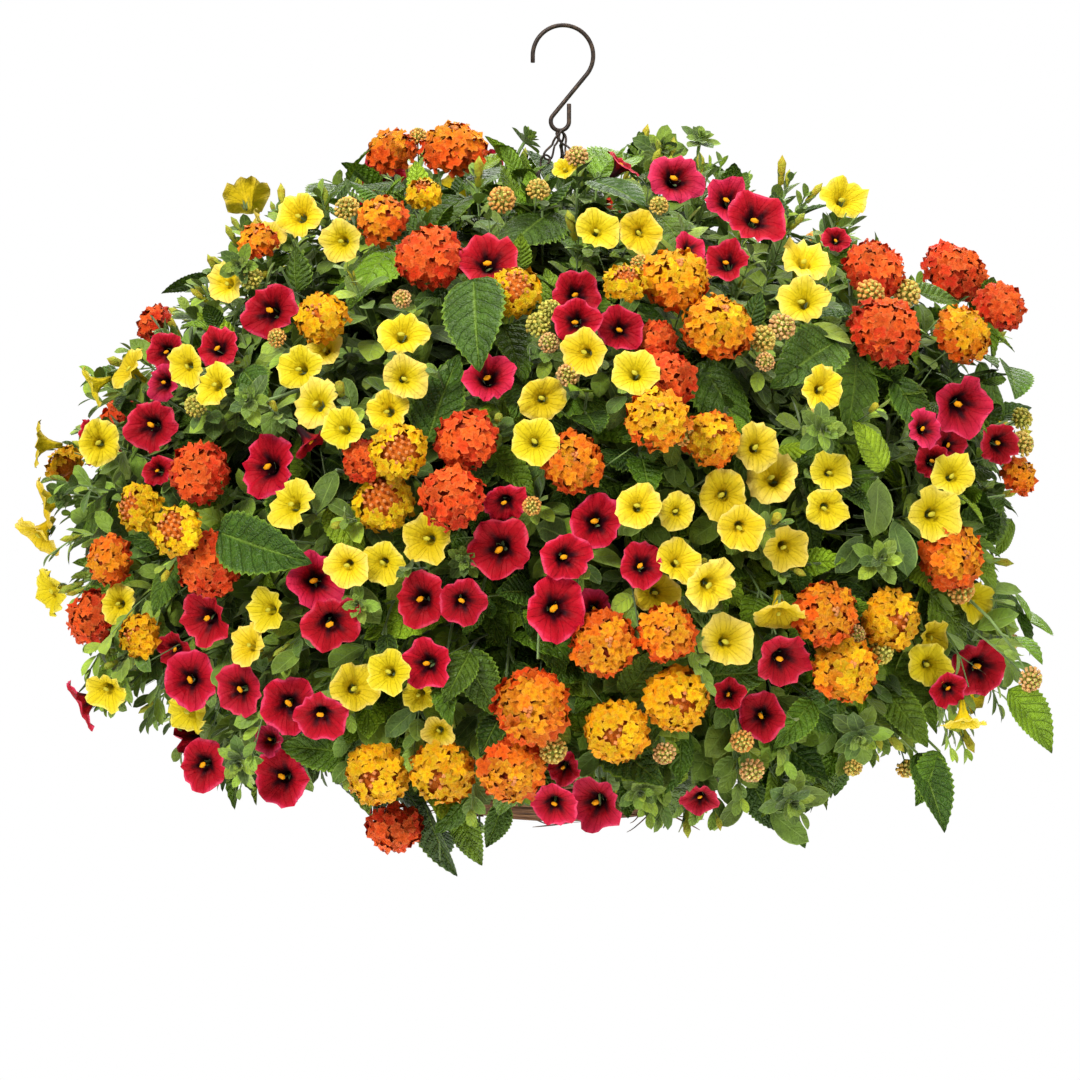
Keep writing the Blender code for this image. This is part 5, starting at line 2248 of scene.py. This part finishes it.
    def between(self, green: Bunch) -> list[Line]:
        """Sets the small blooms and buds that the frame leaves out.

        Args:
            green: The piece of the calyces.

        Returns:
            The points that stems have to reach, each with the way from which they come.
        """
        feet = []
        for colour, small in ((Bloom.YELLOW, SMALL_YELLOW), (Bloom.RED, SMALL_RED)):
            spots = [self.sunk(plan) for plan in small]
            spots += self.around(EXTRA_BELLS)
            bunch = Bunch(f"small_{colour.value}_bells")
            for spot in spots:
                self.bell(bunch, green, spot)
                feet.append(spot.foot(self.CALYX_BEHIND))
            show(bunch.mesh(), bunch.name, self.skins[colour], colour.slot)
        for colour in (Bloom.ORANGE, Bloom.GOLD):
            bunch = Bunch(f"{colour.value}_heads_around")
            for spot in self.around(EXTRA_HEADS):
                self.clearance.keep(spot.middle, spot.size)
                self.head.add(bunch, spot, self.opened(spot, colour))
                feet.append(spot.foot(0.5))
            show(bunch.mesh(), bunch.name, self.skins[colour], colour.slot)
        bunch = Bunch("bud_clusters")
        for spot in [self.spot(plan) for plan in BUD_CLUSTERS] + self.around(EXTRA_BUDS):
            self.clearance.keep(spot.middle, spot.size)
            self.head.cluster(bunch, spot)
            feet.append(spot.foot(0.5))
        show(bunch.mesh(), bunch.name, self.skins[Bloom.ORANGE], Bloom.ORANGE.slot)
        return feet

    def around(self, extras: Extras) -> list[Spot]:
        """Finds room for more blooms on the flanks, the top and the far side.

        Args:
            extras: How many are wanted, and how they stand.

        Returns:
            Their places.
        """
        draw = self.draw
        spots = []
        for _ in range(extras.count * self.TRIES):
            way = on_ball(draw.uniform(-0.3, math.pi + 0.3), draw.uniform(-0.62, 0.85))
            point = self.crown.surface(way, extras.stands * draw.uniform(0.97, 1.03))
            size = draw.uniform(extras.smallest, extras.largest)
            if len(spots) == extras.count or not self.clearance.free([point], size * 1.2):
                continue
            plan = Vector(self.sight.plan(point))
            if not within(plan + (plan - Vector(CROWN_ON_PLAN)) * extras.margin, EDGE_SHOOTS):
                continue
            if any((spot.middle - point).length < size * 2.2 for spot in spots):
                continue
            out = self.crown.outward(point) + loose(draw, 0.35) + UP * 0.15
            spots.append(Spot(faced(point, out, 1.0, draw.uniform(0, math.tau)), size))
        return spots


# Foliage

GREENS = {
    Plant.LANTANA: (
        paint(102, 142, 26),
        paint(76, 114, 22),
        paint(124, 166, 26),
        paint(152, 192, 36),
        paint(58, 92, 20),
        paint(88, 126, 26),
    ),
    Plant.CALIBRACHOA: (paint(118, 150, 46), paint(88, 120, 38), paint(142, 176, 50), paint(158, 192, 54)),
}


@dataclass(frozen=True)
class Habit:
    """How one kind of shoot grows, with two leaves at one height.

    Attributes:
        stem: Radius of its stem at the foot.
        first: How far from the tip its first leaves stand.
        spacing: How far apart the leaves stand.
        leafy: Length that carries leaves.
        young: Length of the leaves at the tip.
        grown: Length of the leaves at the far end of the leafy part.
        turn: How far round the stem the next ones stand, in radians.
        stalk: Length of a leaf's stalk as a share of the leaf.
        lean: How far the leaves lean away from the stem: 0 along it and 1 square to it.
        half_width: Room that a leaf needs on each side of its rib, as a share of its length.
        outermost: The shares of the crown between which its tip ends.
    """

    stem: float
    first: float
    spacing: float
    leafy: float
    young: float
    grown: float
    turn: float
    stalk: float
    lean: float
    half_width: float
    outermost: tuple[float, float]


HABITS = {
    Plant.LANTANA: Habit(0.0017, 0.006, 0.019, 0.125, 0.022, 0.05, math.pi / 2, 0.2, 0.72, 0.1, (0.86, 0.98)),
    Plant.CALIBRACHOA: Habit(0.0011, 0.002, 0.0072, 0.085, 0.01, 0.0255, 1.9, 0.08, 0.74, 0.02, (0.94, 1.05)),
}


@dataclass
class Foliage(Planting):
    """The leaves of the frame, and the leafy shoots between them."""

    SECTORS = 6
    SHOOTS = 430
    HANGING = 90
    # How far a leaf may stand out of the outline on the plan, as a share of the way from the middle
    OVERHANG = 0.05
    # How bright all the leaves are, next to their paints
    LIT = 1.2
    BUD_TINTS = (paint(190, 196, 62), paint(206, 200, 58), paint(166, 184, 66), paint(182, 190, 60))
    CALYX = paint(104, 138, 62)
    # Length, lean and number of the leaves of each whorl of a shoot tip, from the lowest up
    WHORLS = ((0.95, 0.8, 5), (0.72, 0.6, 5), (0.5, 0.4, 5), (0.32, 0.2, 4))
    # Where the soil lets the stems out, and where they pass over the rim
    SOIL_Z = -0.352
    ROOTS = 0.1
    RIM_TOP = Vector((0, 0, -0.27))
    RIM_REACH = 0.19
    # How far out of the crown a leaf of the frame stands that gets a stem of its own
    STANDS_OUT = 0.1
    STALK = 0.0011
    # Blooms larger than this are carried by lantana shoots
    LANTANA_SIZE = 0.016
    NEAR_TURNED = 15

    def __post_init__(self) -> None:
        """Makes the finishes of the leaves and stems."""
        self.draw = random.Random(SEED + 4)
        self.skins = {
            Plant.LANTANA: LANTANA_BLADE.material(),
            Plant.CALIBRACHOA: CALIBRACHOA_BLADE.material(),
        }
        self.stem = StemFinish().material()
        self.bud_skin = FloretFinish("rolled_bud").material()
        self.stems = [Lines(f"shoot_stems_{part + 1}", 0) for part in range(3)]
        self.buds = Bunch("rolled_buds")

    def show_leaves(self, bunch: Bunch, plant: Plant, replaced: Iterable[str] = ()) -> None:
        """Shows a piece made of the leaves of one plant."""
        show(bunch.mesh(), bunch.name, self.skins[plant], f"{plant.value}_leaf", replaced)

    def stem_to(self, line: Line, radii: float | Sequence[float]) -> None:
        """Adds a stem to the piece of the side on which it ends."""
        turn = math.atan2(line[-1].y, line[-1].x) / math.tau % 1.0
        self.stems[int(turn * len(self.stems))].add(line, radii)

    def green(self, greens: Sequence[Colour], here: Vector, brightness: float = 1.0) -> Colour:
        """A leaf's green, warmed at random, with painted light towards the outside of the crown and painted
        shade within it.

        Args:
            greens: The greens of its plant.
            here: Where it grows.
            brightness: How bright it is, next to the other leaves there.

        Returns:
            The green.
        """
        depth = self.crown.outside(here)
        # Painted light and shade: leaves are lighter just outside the crown's surface and darker the deeper
        # they lie within it.
        painted_light_and_shade = 1.0 + max(-0.5, min(0.25, depth * 0.8))
        leaf, share = self.draw.choice(greens), self.draw.uniform(0.7, 1.25)
        return shade(shade(leaf, self.LIT * painted_light_and_shade * share, self.draw.uniform(-0.03, 0.17)), brightness)

    def blade_nodes(self, nodes: dict[str, FrameNode]) -> None:
        """Sets the large leaves of the frame, a piece for each node.

        Args:
            nodes: The nodes by their names.
        """
        greens = GREENS[Plant.LANTANA][:3] + GREENS[Plant.LANTANA][4:]
        for name, node in nodes.items():
            bunch = Bunch(name + "_blades")
            for spot in node.blades():
                tint = self.green(greens, spot.middle, 0.9)
                place = spot.place @ Matrix.Scale(spot.size, 4)
                bunch.add(self.draw.choice(self.stock.big_blade), place, tint)
                centre = spot.middle + spot.along * spot.size * 0.5 + spot.out * 0.006
                self.clearance.keep(centre, spot.size * 0.2)
                self.stalk(spot.middle, spot.along)
            self.show_leaves(bunch, Plant.LANTANA, [name])

    def stalk(self, foot: Vector, way: Vector) -> None:
        """Carries a leaf or tip that stands out of the crown on a stem from within it, behind the blooms.

        Args:
            foot: Where the leaf or tip starts.
            way: The way in which it goes on from there.
        """
        if self.crown.outside(foot) <= self.STANDS_OUT:
            return
        away = Vector((foot.x, foot.y, 0)).normalized()
        for behind in (Vector((0, step, 0)) for step in (0, 0.03, 0.06, 0.09)):
            inside = foot.lerp(self.crown.centre, 0.45) + UP * 0.03 + behind
            bent = foot - way * 0.03 + behind * 0.6
            line = bezier(inside, inside + away * 0.06 + UP * 0.02, bent, foot, 10)
            if foot.y > 0.08 or self.clearance.free(line[:-1], 0.003):
                self.stem_to(line, self.STALK)
                return

    def more_blades(self) -> None:
        """Sets the leaves of the plan that the frame leaves out."""
        for plant, table, shapes, greens in (
            (Plant.LANTANA, MORE_BLADES, self.stock.big_blade, GREENS[Plant.LANTANA]),
            (Plant.CALIBRACHOA, OVALS, self.stock.leaves[Plant.CALIBRACHOA], GREENS[Plant.CALIBRACHOA][:2]),
        ):
            bunch = Bunch(f"{plant.value}_leaves_between")
            for start, tip in table:
                foot = self.crown.seen(self.sight, start, 0.95)
                reach = (foot - self.sight.eye).length
                end = self.sight.eye + self.sight.ray(tip) * (reach - 0.012)
                if not self.clearance.free([foot.lerp(end, part) for part in (0.3, 0.6, 0.9)], 0.004):
                    continue
                face = self.crown.outward(foot) + UP * 0.4 + (self.sight.eye - foot).normalized() * 0.5
                # Painted shade: these leaves, sunk a little into the crown among the blooms, are painted
                # darker than the rest.
                tint = self.green(greens, foot, 0.8)
                bunch.add(self.draw.choice(shapes), aimed(foot, end - foot, face, (end - foot).length), tint)
                self.stem_to([foot - self.crown.outward(foot) * 0.03, foot], 0.0009)
            self.show_leaves(bunch, plant)

    def tip_nodes(self, nodes: dict[str, FrameNode]) -> None:
        """Sets the shoot tips of the frame, a piece for each node.

        Args:
            nodes: The nodes by their names.
        """
        for name, node in nodes.items():
            bunch = Bunch(name + "_tips")
            for straight in node.tips():
                spot = self.moved_back(straight)
                self.rosette(bunch, spot)
                self.stalk(spot.middle, spot.out)
            self.show_leaves(bunch, Plant.CALIBRACHOA, [name])

    def moved_back(self, spot: Spot) -> Spot:
        """Moves a shoot tip back and makes it smaller where it would cover a bloom.

        Args:
            spot: Where the frame has it.

        Returns:
            Where it goes.
        """
        here = Vector(self.sight.plan(spot.middle))
        if any((here - Vector(plan)).length < self.NEAR_TURNED for *plan, _ in TURNED):
            return spot.moved(Vector((0, 0.02, 0)) - spot.out * 0.012, 0.6)
        if not self.clearance.free([spot.middle, spot.middle + spot.out * spot.size * 0.5]):
            return spot.moved(-spot.out * 0.018, 0.8)
        return spot

    def rosette(self, bunch: Bunch, spot: Spot) -> None:
        """Sets the whorls of one shoot tip, the widest lowest.

        Args:
            bunch: The piece that they go into.
            spot: Where the tip is.
        """
        draw = self.draw
        across = spot.place.to_3x3().col[0]
        for whorl, (reach, lean, count) in enumerate(self.WHORLS):
            for leaf in range(count):
                turn = math.tau * leaf / count + whorl * 0.7 + draw.uniform(-0.25, 0.25)
                side = Matrix.Rotation(turn, 3, spot.out) @ across
                way = side * lean + spot.out * (1.05 - lean) + loose(draw, 0.12)
                start = spot.middle - spot.out * spot.size * 0.12 * (2 - whorl)
                size = spot.size * reach * draw.uniform(0.85, 1.1)
                tint = self.green(GREENS[Plant.CALIBRACHOA], spot.middle, 0.72)
                place = aimed(start, way, spot.out + side * 0.1, size)
                bunch.add(draw.choice(self.stock.leaves[Plant.CALIBRACHOA]), place, tint)

    def path(self, tip: Vector, way: Vector | None = None) -> Line:
        """The way of a stem from the soil to its tip, over the rim where it hangs below it.

        Args:
            tip: Where it ends.
            way: The way in which it ends, or None for out of the crown.

        Returns:
            Its points.
        """
        flat = Vector((tip.x, tip.y, 0))
        reach = min(self.ROOTS, flat.length * 0.55) * self.draw.uniform(0.5, 1.0)
        foot = flat.normalized() * reach + UP * self.SOIL_Z
        out = (way or self.crown.outward(tip)).normalized()
        behind = Vector((0, 0.045, 0)) if way and tip.y < 0.08 else Vector()
        if tip.z > -0.3:
            rise = foot + UP * 0.06 + flat * 0.1 + behind
            return bezier(foot, rise, tip - out * 0.07 - UP * 0.012 + behind, tip, 10)
        over = flat.normalized() * max(self.RIM_REACH, flat.length * 0.85) + self.RIM_TOP + behind
        if way:
            over = over * 0.4 + (tip - out * 0.06) * 0.6
        return bezier(foot, foot + UP * 0.1, over, tip, 14)

    def shoot(self, bunch: Bunch, tip: Vector, plant: Plant, way: Vector | None = None) -> None:
        """Grows one shoot, leaving out the leaves that have no room.

        Args:
            bunch: The piece of its leaves.
            tip: Where it ends.
            plant: The plant that it belongs to.
            way: The way in which it ends, or None for out of the crown.
        """
        draw = self.draw
        habit = HABITS[plant]
        line = self.path(tip, way)
        steps = len(line) - 1
        if way is None and not self.clearance.free(line[-6:]):
            return
        self.stem_to(line, [habit.stem * (1 - 0.6 * i / steps) for i in range(steps + 1)])
        distance, turn = habit.first, draw.uniform(0, math.tau)
        vigour = draw.uniform(0.8, 1.15)
        while distance < habit.leafy:
            share = distance / habit.leafy
            size = (habit.young + (habit.grown - habit.young) * min(1, share * 1.9)) * vigour
            for around in (turn, turn + math.pi):
                self.leaf(bunch, plant, from_end(line, distance), around, share, size)
            distance += habit.spacing * draw.uniform(0.8, 1.2)
            turn += habit.turn
        if plant is Plant.CALIBRACHOA and draw.random() < 0.45:
            self.bud(bunch, line, draw.uniform(0.004, 0.02))

    def leaf(
        self,
        bunch: Bunch,
        plant: Plant,
        joint: tuple[Vector, Vector],
        around: float,
        share: float,
        size: float,
    ) -> None:
        """Grows one leaf of a shoot, unless it has no room.

        Args:
            bunch: The piece that it goes into.
            plant: The plant that it belongs to.
            joint: The point of the stem that it grows from, and the stem's way there.
            around: How far round the stem it stands, in radians.
            share: How far from the tip it stands, as a share of the leafy part.
            size: About how long it is.
        """
        draw, habit = self.draw, HABITS[plant]
        here, stem = joint
        side = Matrix.Rotation(around, 3, stem) @ stem.orthogonal().normalized()
        lean = habit.lean * (0.45 + 0.55 * min(1, share * 3))
        out = self.crown.outward(here)
        along = stem * (1 - lean) + side * lean + out * 0.25 - UP * 0.18 + loose(draw, 0.22)
        along.normalize()
        length = size * draw.uniform(0.8, 1.12)
        start = here + along * length * habit.stalk
        reach = [start + along * length * part for part in (0.35, 0.7, 1.0)]
        if not self.clearance.free(reach, length * habit.half_width) or not self.in_outline(reach[-1]):
            return
        face = out + UP * 0.7 + loose(draw, 0.35)
        shape = draw.choice(self.stock.leaves[plant])
        bunch.add(shape, aimed(start, along, face, length), self.green(GREENS[plant], start))
        self.stem_to([here, start + along * length * 0.04], [habit.stem * 0.5, habit.stem * 0.35])

    def bud(self, bunch: Bunch, line: Line, distance: float) -> None:
        """Sets one rolled bud of a bell near a shoot's tip, unless it has no room.

        Args:
            bunch: The piece of its calyx.
            line: The shoot's stem.
            distance: How far from its tip the bud stands.
        """
        draw = self.draw
        here, stem = from_end(line, distance)
        way = stem + self.crown.outward(here) * 0.6 + loose(draw, 0.6)
        length = draw.uniform(0.011, 0.019)
        straight = way.normalized()
        if not self.clearance.free([here + straight * length * part for part in (0.0, 0.7, 1.5)], 0.003):
            return
        tint = draw.choice(self.BUD_TINTS)
        foot = here + straight * 0.008
        self.stem_to([here, foot], 0.0006)
        self.buds.add(self.stock.spindle, faced(foot, way, length), tint)
        for sepal in range(4):
            side = Matrix.Rotation(math.tau * sepal / 4, 3, way) @ way.orthogonal().normalized()
            along = straight + side * 0.5
            bunch.add(self.stock.sepal, aimed(foot, along, -side, length * 0.5), self.CALYX)

    def tips(self) -> Iterator[tuple[Vector, Plant]]:
        """Where the shoots that carry no bloom end, all round the crown and under it.

        Returns:
            Each place with the plant that grows there.
        """
        draw, crown = self.draw, self.crown
        for index in range(self.SHOOTS):
            way = on_cap(index, self.SHOOTS, 2)
            plant = Plant.LANTANA if draw.random() > self.share_of_calibrachoa(way) else Plant.CALIBRACHOA
            tip = crown.surface(way, draw.uniform(*HABITS[plant].outermost))
            if tip.z > -0.44 or Vector((tip.x, tip.y)).length > 0.185:
                yield tip, plant
        for index in range(self.HANGING):
            out = draw.uniform(0.165, 0.2)
            tip = round_axis(index * GOLDEN_ANGLE, out, draw.uniform(-0.462, -0.36))
            yield tip, Plant.LANTANA if draw.random() < 0.5 else Plant.CALIBRACHOA
        for *plan, lantana in EDGE_SHOOTS:
            yield crown.seen(self.sight, plan, 1.0), Plant.LANTANA if lantana else Plant.CALIBRACHOA

    def fill(self, blooms: Sequence[Spot], feet: Sequence[tuple[Vector, Vector]]) -> None:
        """Grows the leafy shoots, all round the crown and under it.

        Args:
            blooms: The blooms of the frame, some of which stand out of the leaves.
            feet: The ends of the small blooms' stalks, each with its way.
        """
        ends: list[tuple[Vector, Plant, Vector | None]] = [(*end, None) for end in self.tips()]
        for spot in blooms:
            if self.crown.outside(spot.middle, 0.98) > 0:
                plant = Plant.LANTANA if spot.size > self.LANTANA_SIZE else Plant.CALIBRACHOA
                ends.append((spot.middle - spot.out * (0.012 + spot.size), plant, spot.out))
        ends += [(foot, Plant.CALIBRACHOA, way) for foot, way in feet]
        pieces = [(plant, sector) for plant in reversed(Plant) for sector in range(self.SECTORS)]
        bunches = {piece: Bunch(f"{piece[0].value}_shoots_{piece[1] + 1}") for piece in pieces}
        for tip, plant, way in ends:
            if way is None:
                tip = self.drawn_in(tip)
            sector = int((math.atan2(tip.y, tip.x) / math.tau % 1) * self.SECTORS)
            self.shoot(bunches[plant, sector], tip, plant, way)
        for (plant, _), bunch in bunches.items():
            self.show_leaves(bunch, plant)
        for piece, skin in (*((stems, self.stem) for stems in self.stems), (self.buds, self.bud_skin)):
            show(piece.mesh(), piece.name, skin, "calibrachoa_leaf")

    def in_outline(self, point: Vector) -> bool:
        """True if a leaf's tip is seen within the outline, or a little way out of it."""
        plan = Vector(self.sight.plan(point))
        return within(plan - (plan - Vector(CROWN_ON_PLAN)) * self.OVERHANG, EDGE_SHOOTS)

    def drawn_in(self, tip: Vector) -> Vector:
        """Moves a tip towards the crown's middle until it is seen within the outline.

        Args:
            tip: The tip of a shoot.

        Returns:
            Where the shoot ends.
        """
        centre = self.crown.centre
        for _ in range(24):
            plan = Vector(self.sight.plan(tip))
            if within(plan, EDGE_SHOOTS) and (plan - Vector(CHAINS_ON_PLAN)).length > ROOM_ROUND_CHAINS:
                break
            tip = centre + (tip - centre) * 0.98
        return tip

    @staticmethod
    def share_of_calibrachoa(way: Vector) -> float:
        """How much of the foliage is calibrachoa.

        Args:
            way: The way from the crown's middle.

        Returns:
            The share, from 0 to 1.
        """
        if way.x < -0.35:
            return 0.72
        if way.z < -0.35:
            return 0.55
        return 0.6 if way.z > 0.5 and way.x > 0.1 else 0.42


# The stage


@dataclass(frozen=True)
class Lamp:
    """A soft square lamp that shines at the basket, with its sides in metres and its power in watts."""

    name: str
    place: Vector
    size: float
    power: float

    def light(self, target: Vector) -> None:
        """Sets it up, turned to a point."""
        data = bpy.data.lights.new(self.name, "AREA")
        data.size = self.size
        data.energy = self.power
        made = placed(self.name, data)
        made.location = self.place
        made.rotation_euler = (target - self.place).to_track_quat("-Z", "Y").to_euler()


@dataclass
class Studio:
    """A pale floor and backdrop, soft light all round and four lamps."""

    floor_radius: float = 1.2
    floor_z: float = -1.0
    floor_paint: Colour = paint(250, 250, 250)
    glow: float = 0.5
    daylight: Colour = (1.0, 0.99, 0.95, 1)
    daylight_strength: float = 0.4

    LAMPS = (
        Lamp("key_light", Vector((-1.3, -2.2, 1.5)), 1.0, 92),
        Lamp("fill_light", Vector((1.9, -1.5, 0.4)), 1.6, 26),
        Lamp("top_light", Vector((0.2, 0.3, 1.9)), 1.6, 40),
        Lamp("back_light", Vector((0.3, 2.4, 1.0)), 1.8, 50),
    )

    def build(self, sight: Sight) -> None:
        """Sets up the floor, the light and the camera."""
        bpy.context.scene.view_settings.view_transform = "Standard"
        self.floor()
        self.backdrop()
        for lamp in self.LAMPS:
            lamp.light(sight.target)
        sight.camera()

    def floor(self) -> None:
        """Lays the floor, a plain disc far below the basket."""
        shape = bmesh.new()
        bmesh.ops.create_circle(shape, cap_ends=True, segments=96, radius=self.floor_radius)
        bmesh.ops.translate(shape, verts=shape.verts, vec=(0, 0, self.floor_z))
        mesh = bpy.data.meshes.new("floor")
        shape.to_mesh(mesh)
        shape.free()
        floor = placed("floor", mesh)
        book = NodeBook("floor")
        glow = {"Emission_Color": self.floor_paint, "Emission_Strength": self.glow}
        mesh.materials.append(book.finish(self.floor_paint, 0.9, **glow))

    def backdrop(self) -> None:
        """Lights the basket from all round, before a white backdrop."""
        world = bpy.data.worlds.new("studio")
        world.use_nodes = True
        bpy.context.scene.world = world
        tree = world.node_tree
        tree.nodes.clear()
        path = tree.nodes.new("ShaderNodeLightPath")
        mix = tree.nodes.new("ShaderNodeMixShader")
        output = tree.nodes.new("ShaderNodeOutputWorld")
        tree.links.new(path.outputs["Is Camera Ray"], mix.inputs[0])
        tree.links.new(mix.outputs[0], output.inputs[0])
        for place, colour, strength in ((1, self.daylight, self.daylight_strength), (2, (1, 1, 1, 1), 1.0)):
            light = tree.nodes.new("ShaderNodeBackground")
            light.inputs["Color"].default_value = colour
            light.inputs["Strength"].default_value = strength
            tree.links.new(light.outputs[0], mix.inputs[place])


def main() -> None:
    """Builds the basket piece by piece, then the stage, and closes the scene."""
    logging.basicConfig(level=logging.INFO, format="%(message)s")
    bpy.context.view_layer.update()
    clearance = Clearance()
    plants = Stock(), Sight(), Crown(), clearance
    nodes = PlantNodes()

    wire = WireFinish().material()
    hook = Hook()
    hook.build(wire)
    chains = Chains(hook)
    chains.build(wire)
    chains.keep_clear(clearance)
    Basket().build(BarkFinish().material(), LinerFinish().material(), SoilFinish().material())

    blooms = Blooms(*plants)
    foliage = Foliage(*plants)
    calyces = Bunch("calyces")
    blooms.heads(Bloom.ORANGE, nodes.named("lantana_orange"))
    blooms.heads(Bloom.GOLD, nodes.named("lantana_gold"))
    blooms.bell_nodes(Bloom.YELLOW, nodes.named("calibrachoa_yellow"), calyces)
    blooms.bell_nodes(Bloom.RED, nodes.named("calibrachoa_red"), calyces)
    feet = blooms.between(calyces)
    foliage.show_leaves(calyces, Plant.CALIBRACHOA)
    foliage.blade_nodes(nodes.named("lantana_leaves"))
    foliage.tip_nodes(nodes.named("calibrachoa_leaves"))
    foliage.more_blades()
    nodes.stems(foliage.stem)
    foliage.fill(blooms.spots, feet)
    Studio().build(blooms.sight)
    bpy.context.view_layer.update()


if __name__ == "__main__":
    main()
